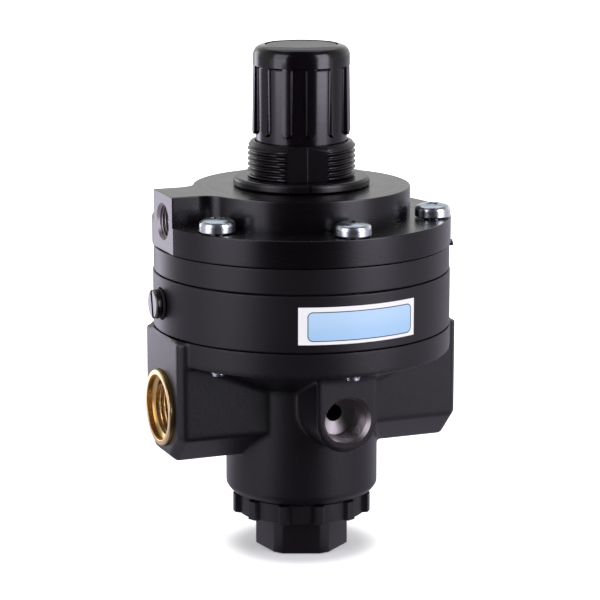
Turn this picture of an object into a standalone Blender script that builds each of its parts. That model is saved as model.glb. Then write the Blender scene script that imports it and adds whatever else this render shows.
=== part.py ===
"""A pneumatic volume booster with a hand-set range spring, piece by piece.

Metres, +Z up. The origin is the centre of the flat underside of the bottom plug. The main ports lie
along X, with the signal port and the bypass screw at -X, and the gauge ports face -Y and +Y. The knob is
pulled up, the range spring is slack and the valve is shut.
"""

import math

import bmesh
import bpy
from mathutils import Matrix, Vector

# Fits
CLEARANCE = 0.0003
OVERCUT = 0.001

# Facets of round pieces
OUTER_STEPS = 40
KNOB_STEPS = 30
CHAMBER_STEPS = 24
PORT_STEPS = 18
INNER_STEPS = 14
SMALL_STEPS = 8
RING_STEPS = 5

# Valve, from the tail outwards
TAIL_RADIUS = 0.005
GUIDE_WALL = 0.0017
VALVE_SPRING_GAP = 0.0006
VALVE_SPRING_WIRE_RADIUS = 0.0006
VALVE_SPRING_TURNS = 4
DISC_OVERHANG = 0.0017
DISC_THICKNESS = 0.002
SEAL_THICKNESS = 0.0017
SEAT_LAP = 0.0025
SEAT_WALL = 0.0035
LIFT = 0.0015
FLOW_GAP = 0.003
EXHAUST_BORE_RADIUS = 0.0026
EXHAUST_LAP = 0.0012
EXHAUST_WALL = 0.0024

# Bottom plug
PLUG_HEX_HEIGHT = 0.0104
PLUG_HEX_ACROSS_FLATS = 0.0243
PLUG_HEX_ACROSS_CORNERS = 0.0263
PLUG_HEX_TURN = math.radians(-22)
PLUG_EDGE_ROUND = 0.0015
PLUG_RING_HEIGHT = 0.0059
PLUG_RING_INSET = 0.0001
PLUG_RIB_COUNT = 12
PLUG_RIB_ANGLE = math.radians(8.5)
PLUG_RIB_TURN = math.radians(-7)
PLUG_RIB_HEIGHT = 0.0014
PLUG_FLOOR_RISE = 0.0007
PLUG_SPIGOT_LENGTH = 0.0114
PLUG_SPIGOT_WALL = 0.003
PLUG_O_RING_RADIUS = 0.0007
PLUG_O_RING_RISE = 0.0022

# Lower body
BODY_RADIUS = 0.0422
BODY_FLANGE_HEIGHT = 0.00675
BODY_FLANGE_OVERHANG = 0.0036
FUNNEL_HEIGHT = 0.0089
FUNNEL_WALL = 0.0057
TUBE_HEIGHT = 0.0332
TUBE_WALL = 0.0054
TUBE_CHAMFER_WIDTH = 0.0015
TUBE_CHAMFER_HEIGHT = 0.0025
PLUG_SHOULDER = 0.0028
OUTLET_CHAMBER_STEP = 0.0005
OUTLET_CHAMBER_LEDGE = 0.005

# Main ports and their block
PORT_AXIS_DROP = 0.02125
BLOCK_HALF_WIDTH = 0.0148
BLOCK_DEPTH = 0.014
BLOCK_LOWER_CHAMFER = 0.0075
BLOCK_END_CHAMFER = 0.0022
BLOCK_TOP_DROP = 0.00035
BUSH_RADIUS = 0.0107
BUSH_LENGTH = 0.0161
BUSH_STANDOUT = 0.0014
BUSH_THREAD_RADIUS = 0.008
BUSH_THREAD_LENGTH = 0.0125
BUSH_MOUTH_CHAMFER = 0.0008
BUSH_STEP = 0.0015
PASSAGE_RADIUS = 0.0035
SEAT_DROP = 0.0062
INLET_DROP = 0.0077
OUTLET_RISE = 0.0028

# Gauge ports
GAUGE_BOSS_HALF_WIDTH = 0.009
GAUGE_FACE_INSET = 0.0003
GAUGE_THREAD_RADIUS = 0.0062
GAUGE_DEPTH = 0.0115
GAUGE_MOUTH_CHAMFER = 0.0008
GAUGE_HOLE_RADIUS = 0.0024

# Cover screws
SCREW_COUNT = 6
SCREW_RADIUS = 0.0025
SCREW_HEAD_RADIUS = 0.005
SCREW_HEAD_HEIGHT = 0.0037
SCREW_HEAD_EDGE = 0.0001
SCREW_POKE = 0.002
RECESS_WIDTH = 0.0011
RECESS_LENGTH = 0.0052
RECESS_DEPTH = 0.0018

# Rings, diaphragms and gasket
MID_RING_HEIGHT = 0.01566
MID_RING_INSET = 0.0001
SPACER_HEIGHT = 0.00697
SPACER_INSET = 0.00035
RIM_WALL = 0.0012
SEAL_LAND = 0.0063
DIAPHRAGM_THICKNESS = 0.0008
GASKET_THICKNESS = 0.0005
GASKET_INNER_STEP = 0.005
CONVOLUTION_DEPTH = 0.0022
CONVOLUTION_WIDTH = 0.0046
CONVOLUTION_EDGE = 0.0006
TAB_WIDTH = 0.006
TAB_STANDOUT = 0.0006
TAB_TURN = math.radians(68)
VENT_RADIUS = 0.0015
PARTITION_THICKNESS = 0.003
PARTITION_HUB_HEIGHT = 0.0033
PARTITION_HUB_WALL = 0.0037
STEM_O_RING_RADIUS = 0.0006

# Diaphragm stack
PLATE_THICKNESS = 0.002
PLATE_EDGE_GAP = 0.0006
STEM_JOURNAL_RADIUS = 0.004
STEM_THREAD_RADIUS = 0.003
STEM_THREAD_LENGTH = 0.0055
STEM_REACH = 0.00845
SPOOL_DISC = 0.0016
SPOOL_HUB_WALL = 0.0037
SPRING_BOSS_HEIGHT = 0.002
SPRING_BOSS_WALL = 0.0012
STACK_NUT_ACROSS_FLATS = 0.01
STACK_NUT_HEIGHT = 0.004
EXHAUST_HOLE_RADIUS = 0.0013

# Bypass needle screw
BYPASS_RISE = 0.00815
BYPASS_SEAT_DEPTH = 0.00075
BYPASS_HEAD_RADIUS = 0.0041
BYPASS_HEAD_HEIGHT = 0.0016
BYPASS_SLOT_WIDTH = 0.001
BYPASS_SLOT_DEPTH = 0.0009
BYPASS_SLOT_TURN = math.radians(-12)
BYPASS_SHANK_RADIUS = 0.0025
BYPASS_SHANK_LENGTH = 0.0047
BYPASS_NEEDLE_RADIUS = 0.0013
BYPASS_NEEDLE_TIP = 0.001
BYPASS_HOLE_INSET = 0.0033
BYPASS_HOLE_RADIUS = 0.0012
BYPASS_O_RING_RADIUS = 0.0006

# Top cover
COVER_RIM_HEIGHT = 0.00747
COVER_DISC_HEIGHT = 0.0085
COVER_DISC_INSET = 0.00145
COVER_ROOF = 0.0035
COVER_EDGE = 0.0005
SIGNAL_BOSS_HALF_WIDTH = 0.0081
SIGNAL_BOSS_FILLET = 0.006
SIGNAL_FACE_INSET = 0.0011
SIGNAL_RISE = 0.0081
SIGNAL_THREAD_RADIUS = 0.0046
SIGNAL_DEPTH = 0.009
SIGNAL_MOUTH_CHAMFER = 0.0006
SIGNAL_PASSAGE_RADIUS = 0.0018

# Bonnet
BONNET_FLANGE_HEIGHT = 0.00235
PANEL_SHOULDER = 0.0042
NECK_HEIGHT = 0.01
NECK_WALL = 0.00188
NECK_EDGE = 0.0006
NECK_FLAT_DEPTH = 0.0011
NECK_FLAT_TURN = math.radians(-15)
SPIGOT_LENGTH = 0.007
SPIGOT_WALL = 0.004
BONNET_WALL = 0.0022
BONNET_ROOF = 0.003
TUBE_RISE = 0.0139
NUT_GROOVE_DEPTH = 0.0009
NUT_LUG_WIDTH = 0.0024

# Spindle, spring nut and range spring
RANGE_SPRING_WIRE_RADIUS = 0.0009
RANGE_SPRING_TURNS = 5
SPRING_NUT_LIP = 0.0008
SPRING_NUT_HEIGHT = 0.004
SPINDLE_RADIUS = 0.004
SPINDLE_PITCH = 0.00125
SPINDLE_TURNS = 5
SPINDLE_THREAD_END = 0.003
SPINDLE_HEX_ACROSS_FLATS = 0.0066
COLLAR_RADIUS = 0.0065
COLLAR_HEIGHT = 0.0022
THRUST_WASHER_THICKNESS = 0.0008
THRUST_WASHER_OVERHANG = 0.0008
SPINDLE_O_RING_RADIUS = 0.0005

# Knob
LOCK_TRAVEL = 0.0016
KNOB_WALL = 0.00135
KNOB_SKIRT_LAP = 0.001
KNOB_RIB_COUNT = 12
KNOB_RIB_ANGLE = math.radians(13)
KNOB_RIB_TURN = math.radians(-10)
KNOB_RIB_TOP_HEIGHT = 0.00075
KNOB_RIB_BOTTOM_HEIGHT = 0.00118
KNOB_CROWN_HEIGHT = 0.00585
KNOB_CROWN_ROUND = 0.0024
KNOB_HUB_GAP = 0.0004
KNOB_HUB_THICKNESS = 0.0037
KNOB_CAP_RADIUS = 0.0099
KNOB_CAP_THICKNESS = 0.0015
KNOB_CAP_HEADROOM = 0.0015
KNOB_SCREW_RADIUS = 0.002
KNOB_SCREW_LENGTH = 0.007
KNOB_SCREW_HEAD_RADIUS = 0.006
KNOB_SCREW_HEAD_HEIGHT = 0.0022
KNOB_POCKET_GAP = 0.001

# Valve radii, from the inside outwards
GUIDE_BORE_RADIUS = TAIL_RADIUS + CLEARANCE
GUIDE_RADIUS = GUIDE_BORE_RADIUS + GUIDE_WALL
VALVE_SPRING_RADIUS = GUIDE_RADIUS + VALVE_SPRING_GAP + VALVE_SPRING_WIRE_RADIUS
DISC_RADIUS = VALVE_SPRING_RADIUS + VALVE_SPRING_WIRE_RADIUS + DISC_OVERHANG
SEAL_RADIUS = DISC_RADIUS - CLEARANCE
SEAT_RADIUS = DISC_RADIUS - SEAT_LAP
INLET_CHAMBER_RADIUS = DISC_RADIUS + FLOW_GAP
OUTLET_CHAMBER_RADIUS = INLET_CHAMBER_RADIUS + OUTLET_CHAMBER_STEP
PLUG_BORE_RADIUS = INLET_CHAMBER_RADIUS + PLUG_SHOULDER
PLUG_SPIGOT_RADIUS = PLUG_BORE_RADIUS - CLEARANCE
TUBE_RADIUS = PLUG_BORE_RADIUS + TUBE_WALL
PLUG_RING_RADIUS = TUBE_RADIUS - TUBE_CHAMFER_WIDTH - PLUG_RING_INSET
STEM_TIP_RADIUS = EXHAUST_BORE_RADIUS + EXHAUST_LAP
STEM_RADIUS = EXHAUST_BORE_RADIUS + EXHAUST_WALL
STEM_BORE_RADIUS = STEM_RADIUS + CLEARANCE

# Body radii, from the outside inwards
SCREW_CIRCLE_RADIUS = BODY_RADIUS - SCREW_HEAD_RADIUS - SCREW_HEAD_EDGE
SCREW_HOLE_RADIUS = SCREW_RADIUS + CLEARANCE
CHAMBER_RADIUS = SCREW_CIRCLE_RADIUS - SCREW_HOLE_RADIUS - SEAL_LAND
SEAL_RECESS_RADIUS = BODY_RADIUS - RIM_WALL
SEAL_SHEET_RADIUS = SEAL_RECESS_RADIUS - CLEARANCE
GASKET_INNER_RADIUS = CHAMBER_RADIUS + GASKET_INNER_STEP
FUNNEL_RADIUS = BODY_RADIUS - BODY_FLANGE_OVERHANG
MID_RING_RADIUS = BODY_RADIUS - MID_RING_INSET
SPACER_RADIUS = BODY_RADIUS - SPACER_INSET
COVER_DISC_RADIUS = SCREW_CIRCLE_RADIUS - SCREW_HEAD_RADIUS - COVER_DISC_INSET
PLATE_RADIUS = CHAMBER_RADIUS - CONVOLUTION_WIDTH - 2 * CONVOLUTION_EDGE - PLATE_EDGE_GAP
GAUGE_FACE = SCREW_CIRCLE_RADIUS - SCREW_HOLE_RADIUS - GAUGE_FACE_INSET
SIGNAL_FACE = BODY_RADIUS - SIGNAL_FACE_INSET

# Knob and bonnet radii, from the inside outwards
STACK_NUT_CORNER = STACK_NUT_ACROSS_FLATS / math.sqrt(3)
RANGE_SPRING_RADIUS = STACK_NUT_CORNER + CLEARANCE + RANGE_SPRING_WIRE_RADIUS
SPRING_NUT_RADIUS = RANGE_SPRING_RADIUS + RANGE_SPRING_WIRE_RADIUS + SPRING_NUT_LIP
BONNET_BORE_RADIUS = SPRING_NUT_RADIUS + CLEARANCE
BONNET_TUBE_RADIUS = BONNET_BORE_RADIUS + BONNET_WALL
SPIGOT_RADIUS = BONNET_BORE_RADIUS + SPIGOT_WALL
KNOB_BORE_RADIUS = BONNET_TUBE_RADIUS + CLEARANCE
KNOB_SKIRT_RADIUS = KNOB_BORE_RADIUS + KNOB_WALL
NECK_BORE_RADIUS = KNOB_SKIRT_RADIUS + CLEARANCE
NECK_RADIUS = NECK_BORE_RADIUS + NECK_WALL
BONNET_FLANGE_RADIUS = NECK_RADIUS + PANEL_SHOULDER
SPINDLE_BORE_RADIUS = SPINDLE_RADIUS + CLEARANCE

# Heights, from the plug's underside up
PLUG_RING_TOP = PLUG_HEX_HEIGHT + PLUG_RING_HEIGHT
BODY_BOTTOM = PLUG_RING_TOP + CLEARANCE
FUNNEL_BOTTOM = BODY_BOTTOM + TUBE_HEIGHT
BODY_FLANGE_BOTTOM = FUNNEL_BOTTOM + FUNNEL_HEIGHT
BODY_TOP = BODY_FLANGE_BOTTOM + BODY_FLANGE_HEIGHT
MID_BOTTOM = BODY_TOP + CLEARANCE
MID_TOP = MID_BOTTOM + MID_RING_HEIGHT
SPACER_BOTTOM = MID_TOP + CLEARANCE
SPACER_TOP = SPACER_BOTTOM + SPACER_HEIGHT
COVER_BOTTOM = SPACER_TOP + CLEARANCE
COVER_RIM_TOP = COVER_BOTTOM + COVER_RIM_HEIGHT
COVER_TOP = COVER_RIM_TOP + COVER_DISC_HEIGHT
BONNET_BOTTOM = COVER_TOP + CLEARANCE
BONNET_FLANGE_TOP = BONNET_BOTTOM + BONNET_FLANGE_HEIGHT
NECK_TOP = BONNET_FLANGE_TOP + NECK_HEIGHT
BONNET_TOP = NECK_TOP + TUBE_RISE

# Heights in the valve
PORT_AXIS = BODY_TOP - PORT_AXIS_DROP
SEAT = PORT_AXIS - SEAT_DROP
OUTLET_FLOOR = SEAT + SEAT_WALL
SEAL_TOP = SEAT - CLEARANCE
DISC_TOP = SEAL_TOP - SEAL_THICKNESS - CLEARANCE
DISC_BOTTOM = DISC_TOP - DISC_THICKNESS
PLUG_FLOOR = PLUG_RING_TOP + PLUG_FLOOR_RISE
PLUG_SPIGOT_TOP = BODY_BOTTOM + PLUG_SPIGOT_LENGTH
TAIL_BOTTOM = PLUG_FLOOR + LIFT + CLEARANCE
GUIDE_TOP = DISC_BOTTOM - LIFT - CLEARANCE
EXHAUST_SEAT = MID_BOTTOM - STEM_REACH
STEM_TIP_TOP = EXHAUST_SEAT - CLEARANCE

# Heights in the diaphragm stack
PARTITION_TOP = MID_BOTTOM + PARTITION_THICKNESS
PARTITION_HUB_TOP = PARTITION_TOP + PARTITION_HUB_HEIGHT
FEEDBACK_BOTTOM = MID_TOP - DIAPHRAGM_THICKNESS
SIGNAL_BOTTOM = SPACER_TOP - DIAPHRAGM_THICKNESS
LOWER_PLATE_TOP = FEEDBACK_BOTTOM - CLEARANCE
LOWER_PLATE_BOTTOM = LOWER_PLATE_TOP - PLATE_THICKNESS
SPOOL_BOTTOM = MID_TOP + CLEARANCE
SPOOL_TOP = SIGNAL_BOTTOM - CLEARANCE
UPPER_PLATE_BOTTOM = SPACER_TOP + CLEARANCE
UPPER_PLATE_TOP = UPPER_PLATE_BOTTOM + PLATE_THICKNESS
SPRING_BOSS_TOP = UPPER_PLATE_TOP + SPRING_BOSS_HEIGHT
STACK_NUT_BOTTOM = SPRING_BOSS_TOP + CLEARANCE
EXHAUST_HOLE = (SPOOL_BOTTOM + SPOOL_TOP) / 2

# Heights in the knob
THRUST_WASHER_TOP = BONNET_TOP - BONNET_ROOF - CLEARANCE
COLLAR_TOP = THRUST_WASHER_TOP - THRUST_WASHER_THICKNESS - CLEARANCE
COLLAR_BOTTOM = COLLAR_TOP - COLLAR_HEIGHT
SPRING_NUT_TOP = COLLAR_BOTTOM - CLEARANCE
SPRING_NUT_BOTTOM = SPRING_NUT_TOP - SPRING_NUT_HEIGHT
SPRING_NUT_TRAVEL = SPINDLE_TURNS * SPINDLE_PITCH
KNOB_HUB_BOTTOM = BONNET_TOP + LOCK_TRAVEL + KNOB_HUB_GAP
KNOB_HUB_TOP = KNOB_HUB_BOTTOM + KNOB_HUB_THICKNESS
SPINDLE_TOP = KNOB_HUB_TOP + CLEARANCE
KNOB_SCREW_HEAD_BOTTOM = SPINDLE_TOP + CLEARANCE
KNOB_SCREW_HEAD_TOP = KNOB_SCREW_HEAD_BOTTOM + KNOB_SCREW_HEAD_HEIGHT
KNOB_CAP_BOTTOM = KNOB_SCREW_HEAD_TOP + LOCK_TRAVEL + KNOB_CAP_HEADROOM
KNOB_TOP = KNOB_CAP_BOTTOM + KNOB_CAP_THICKNESS
KNOB_RIB_TOP = KNOB_TOP - KNOB_CROWN_HEIGHT
KNOB_RIB_BOTTOM = NECK_TOP + LOCK_TRAVEL + CLEARANCE
KNOB_BOTTOM = NECK_TOP - KNOB_SKIRT_LAP
NECK_GROOVE_FLOOR = KNOB_BOTTOM - LOCK_TRAVEL - CLEARANCE

# Colour, roughness and metalness
BLACK_GLOSS = ((0.012, 0.012, 0.014), 0.22, 0.0)
BLACK_PLASTIC = ((0.018, 0.018, 0.02), 0.45, 0.0)
BLACK_ANODISED = ((0.03, 0.03, 0.034), 0.32, 0.6)
BLACK_CASTING = ((0.028, 0.028, 0.03), 0.5, 0.1)
CAP_GREY = ((0.1, 0.1, 0.11), 0.4, 0.0)
BRASS = ((0.72, 0.5, 0.2), 0.28, 1.0)
ZINC = ((0.72, 0.72, 0.7), 0.25, 1.0)
STEEL = ((0.55, 0.55, 0.56), 0.3, 1.0)
ALUMINIUM = ((0.75, 0.76, 0.78), 0.35, 1.0)
RUBBER = ((0.015, 0.015, 0.015), 0.7, 0.0)

for old in list(bpy.data.objects):
    bpy.data.objects.remove(old)

parts = bpy.data.collections.new("pressure_booster")
cutters = bpy.data.collections.new("cutters")
bpy.context.scene.collection.children.link(parts)
bpy.context.scene.collection.children.link(cutters)


def placed(name, data, place=(0, 0, 0), axis=(0, 0, 1)):
    """A helper object in the cutters' collection, its own z turned to lie along axis."""
    obj = bpy.data.objects.new(name, data)
    turn = Vector((0, 0, 1)).rotation_difference(Vector(axis)).to_matrix().to_4x4()
    obj.matrix_world = Matrix.Translation(place) @ turn
    cutters.objects.link(obj)
    obj.hide_render = True
    obj.display_type = "WIRE"
    return obj


def piece(obj, finish):
    """Makes a helper a real piece, with its own material."""
    cutters.objects.unlink(obj)
    parts.objects.link(obj)
    obj.hide_render = False
    obj.display_type = "TEXTURED"
    colour, roughness, metallic = finish
    material = bpy.data.materials.new(obj.name)
    material.use_nodes = True
    shader = material.node_tree.nodes["Principled BSDF"]
    shader.inputs["Base Color"].default_value = (*colour, 1)
    shader.inputs["Roughness"].default_value = roughness
    shader.inputs["Metallic"].default_value = metallic
    obj.data.materials.clear()
    obj.data.materials.append(material)
    if obj.type == "MESH":
        obj.data.shade_smooth()
        obj.data.set_sharp_from_angle(angle=math.radians(30))
    return obj


def turned(name, profile, steps, place=(0, 0, 0), axis=(0, 0, 1)):
    """A turned solid from (radius, height) points that run down its outer side.

    A profile that doesn't start on the axis is closed into a ring.
    """
    edges = [(i, i + 1) for i in range(len(profile) - 1)]
    if profile[0][0] > 0:
        edges.append((len(profile) - 1, 0))
    mesh = bpy.data.meshes.new(name)
    mesh.from_pydata([(radius, 0, height) for radius, height in profile], edges, [])
    obj = placed(name, mesh, place, axis)
    screw = obj.modifiers.new("turn", "SCREW")
    screw.steps = steps
    screw.render_steps = steps
    screw.use_merge_vertices = True
    screw.merge_threshold = 1e-6
    return obj


def bar(name, radius, start, end, steps):
    """A round bar from start to end."""
    start = Vector(start)
    end = Vector(end)
    mesh = bpy.data.meshes.new(name)
    shape = bmesh.new()
    bmesh.ops.create_cone(
        shape, cap_ends=True, segments=steps, radius1=radius, radius2=radius, depth=(end - start).length
    )
    # Half a facet's turn keeps its edges off the flat faces' own edges.
    turn = Matrix.Rotation(math.pi / steps, 3, "Z")
    bmesh.ops.rotate(shape, cent=(0, 0, 0), matrix=turn, verts=shape.verts)
    shape.to_mesh(mesh)
    shape.free()
    return placed(name, mesh, (start + end) / 2, end - start)


def block(name, low, high, turn=0.0):
    """A box between two corners, turned about the Z axis through the origin."""
    low = Vector(low)
    high = Vector(high)
    mesh = bpy.data.meshes.new(name)
    shape = bmesh.new()
    bmesh.ops.create_cube(shape, size=1)
    bmesh.ops.scale(shape, vec=high - low, verts=shape.verts)
    bmesh.ops.translate(shape, vec=(low + high) / 2, verts=shape.verts)
    bmesh.ops.rotate(shape, cent=(0, 0, 0), matrix=Matrix.Rotation(turn, 3, "Z"), verts=shape.verts)
    shape.to_mesh(mesh)
    shape.free()
    return placed(name, mesh)


def extruded(name, outline, low, high, frame=None):
    """A flat outline, filled and drawn out from low to high along its own z, then set in a frame."""
    curve = bpy.data.curves.new(name, "CURVE")
    curve.dimensions = "2D"
    curve.fill_mode = "BOTH"
    curve.extrude = (high - low) / 2
    spline = curve.splines.new("POLY")
    spline.points.add(len(outline) - 1)
    for point, (x, y) in zip(spline.points, outline):
        point.co = (x, y, 0, 1)
    spline.use_cyclic_u = True
    flat = placed(name, curve)
    graph = bpy.context.evaluated_depsgraph_get()
    mesh = bpy.data.meshes.new_from_object(flat.evaluated_get(graph))
    bpy.data.objects.remove(flat)
    shape = bmesh.new()
    shape.from_mesh(mesh)
    bmesh.ops.remove_doubles(shape, verts=shape.verts, dist=1e-7)
    bmesh.ops.translate(shape, vec=(0, 0, (low + high) / 2), verts=shape.verts)
    bmesh.ops.dissolve_limit(shape, angle_limit=1e-3, verts=shape.verts, edges=shape.edges)
    if frame is not None:
        shape.transform(frame)
    bmesh.ops.recalc_face_normals(shape, faces=shape.faces)
    shape.to_mesh(mesh)
    shape.free()
    return placed(name, mesh)


def rounded(obj, width, steps, chosen):
    """Bevels the edges whose two ends both pass the test."""
    shape = bmesh.new()
    shape.from_mesh(obj.data)
    edges = [edge for edge in shape.edges if all(chosen(vert.co) for vert in edge.verts)]
    bmesh.ops.bevel(
        shape, geom=edges, offset=width, offset_type="OFFSET", segments=steps, profile=0.5, affect="EDGES"
    )
    shape.to_mesh(obj.data)
    shape.free()
    return obj


def combine(obj, operation, others):
    """Adds or takes away the other shapes, one Boolean each."""
    for other in others:
        modifier = obj.modifiers.new(other.name, "BOOLEAN")
        modifier.operation = operation
        modifier.object = other
        modifier.solver = "EXACT"
    return obj


def around(count, turn=0.0):
    """Evenly spaced angles, counted from -Y towards +X."""
    return [turn + 2 * math.pi * i / count for i in range(count)]


def spot(radius, angle, height=0.0):
    """The point at this radius and angle from -Y towards +X."""
    return Vector((radius * math.sin(angle), -radius * math.cos(angle), height))


def screw_holes(name, radius, low, high):
    """The cover screws' holes through one piece."""
    holes = []
    for i, angle in enumerate(around(SCREW_COUNT), 1):
        start = spot(SCREW_CIRCLE_RADIUS, angle, low)
        end = spot(SCREW_CIRCLE_RADIUS, angle, high)
        holes.append(bar(f"{name}_{i}", radius, start, end, SMALL_STEPS))
    return holes


def o_ring(name, radius, wire_radius, place, axis=(0, 0, 1), steps=INNER_STEPS):
    """A rubber ring of round section."""
    section = [
        (radius + wire_radius * math.cos(angle), -wire_radius * math.sin(angle))
        for angle in (2 * math.pi * i / RING_STEPS for i in range(RING_STEPS))
    ]
    return piece(turned(name, section, steps, place, axis), RUBBER)


def coil(name, radius, wire_radius, low, high, turns, finish):
    """A compression spring between two heights, its end turns closed up."""
    points_a_turn = 9
    closed = 2.3 * wire_radius
    rise = high - low - 2 * wire_radius
    open_pitch = (rise - 2 * closed) / (turns - 2)
    curve = bpy.data.curves.new(name, "CURVE")
    curve.dimensions = "3D"
    curve.bevel_depth = wire_radius
    curve.bevel_resolution = 1
    curve.use_fill_caps = True
    spline = curve.splines.new("POLY")
    spline.points.add(turns * points_a_turn)
    for i, point in enumerate(spline.points):
        turn = i / points_a_turn
        height = closed * min(turn, 1) + closed * max(turn - turns + 1, 0)
        height += open_pitch * min(max(turn - 1, 0), turns - 2)
        angle = 2 * math.pi * turn
        point.co = (radius * math.cos(angle), radius * math.sin(angle), low + wire_radius + height, 1)
    return piece(placed(name, curve), finish)


def polygon(across_flats, sides=6, turn=0.0):
    """The corners of a regular polygon, one of its flats facing the turned -Y."""
    corner = across_flats / 2 / math.cos(math.pi / sides)
    return [spot(corner, angle)[:2] for angle in around(sides, turn + math.pi / sides)]


def make_plug():
    """The bottom plug: a hexagon with flattened corners, a ribbed ring, and a cup for the poppet's tail."""
    half = math.pi / 6
    facet = PLUG_HEX_ACROSS_CORNERS / 2
    # Each corner is cut square to its own radius, which leaves two points on the neighbouring flats.
    along = (PLUG_HEX_ACROSS_FLATS / 2 - facet * math.cos(half)) / math.sin(half)
    outline = []
    for angle in around(6, PLUG_HEX_TURN + half):
        corner = Vector((math.sin(angle), -math.cos(angle), 0))
        side = Vector((math.cos(angle), math.sin(angle), 0))
        outline.append((corner * facet - side * along)[:2])
        outline.append((corner * facet + side * along)[:2])
    hexagon = extruded("plug_hexagon", outline, 0, PLUG_HEX_HEIGHT + OVERCUT)
    rounded(hexagon, PLUG_EDGE_ROUND, 2, lambda co: co.z < OVERCUT / 2)

    ribs = []
    low = PLUG_RING_RADIUS - PLUG_RIB_HEIGHT
    for angle in around(PLUG_RIB_COUNT, PLUG_RIB_TURN):
        start = angle - PLUG_RIB_ANGLE / 2
        end = angle + PLUG_RIB_ANGLE / 2
        tooth = ((low, start), (PLUG_RING_RADIUS, start), (PLUG_RING_RADIUS, end), (low, end))
        ribs += [spot(radius, corner)[:2] for radius, corner in tooth]
    ring = extruded("plug_ribbed_ring", ribs, PLUG_HEX_HEIGHT, PLUG_RING_TOP)

    groove_low = BODY_BOTTOM + PLUG_O_RING_RISE
    groove_high = groove_low + 2 * PLUG_O_RING_RADIUS + 2 * CLEARANCE
    groove_radius = PLUG_SPIGOT_RADIUS - 2 * PLUG_O_RING_RADIUS - CLEARANCE
    cup_radius = PLUG_SPIGOT_RADIUS - PLUG_SPIGOT_WALL
    profile = [
        (0, PLUG_FLOOR),
        (GUIDE_BORE_RADIUS, PLUG_FLOOR),
        (GUIDE_BORE_RADIUS, GUIDE_TOP),
        (GUIDE_RADIUS, GUIDE_TOP),
        (GUIDE_RADIUS, PLUG_FLOOR),
        (cup_radius, PLUG_FLOOR),
        (cup_radius, PLUG_SPIGOT_TOP),
        (PLUG_SPIGOT_RADIUS, PLUG_SPIGOT_TOP),
        (PLUG_SPIGOT_RADIUS, groove_high),
        (groove_radius, groove_high),
        (groove_radius, groove_low),
        (PLUG_SPIGOT_RADIUS, groove_low),
        (PLUG_SPIGOT_RADIUS, PLUG_RING_TOP - OVERCUT),
        (0, PLUG_RING_TOP - OVERCUT),
    ]
    plug = turned("bottom_plug", profile, PORT_STEPS)
    combine(plug, "UNION", [ring, hexagon])
    piece(plug, BLACK_PLASTIC)

    ring_height = (groove_low + groove_high) / 2
    ring_radius = PLUG_SPIGOT_RADIUS - PLUG_O_RING_RADIUS
    o_ring("plug_o_ring", ring_radius, PLUG_O_RING_RADIUS, (0, 0, ring_height), steps=PORT_STEPS)


def make_poppet():
    """The poppet with its bonded seal and the spring that shuts it."""
    profile = [
        (0, STEM_TIP_TOP),
        (STEM_TIP_RADIUS, STEM_TIP_TOP),
        (STEM_TIP_RADIUS, DISC_TOP),
        (DISC_RADIUS, DISC_TOP),
        (DISC_RADIUS, DISC_BOTTOM),
        (TAIL_RADIUS, DISC_BOTTOM),
        (TAIL_RADIUS, TAIL_BOTTOM),
        (0, TAIL_BOTTOM),
    ]
    piece(turned("valve_poppet", profile, INNER_STEPS), BRASS)
    inner = STEM_TIP_RADIUS + CLEARANCE
    low = SEAL_TOP - SEAL_THICKNESS
    seal = [(SEAL_RADIUS, SEAL_TOP), (SEAL_RADIUS, low), (inner, low), (inner, SEAL_TOP)]
    piece(turned("poppet_seal", seal, INNER_STEPS), RUBBER)
    coil(
        "valve_spring", VALVE_SPRING_RADIUS, VALVE_SPRING_WIRE_RADIUS,
        PLUG_FLOOR + CLEARANCE, DISC_BOTTOM - CLEARANCE, VALVE_SPRING_TURNS, STEEL,
    )


def seal_recess(top, thickness):
    """The floor of the recess that takes a sheet lying flush with a joint face."""
    return top - thickness - CLEARANCE


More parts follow.
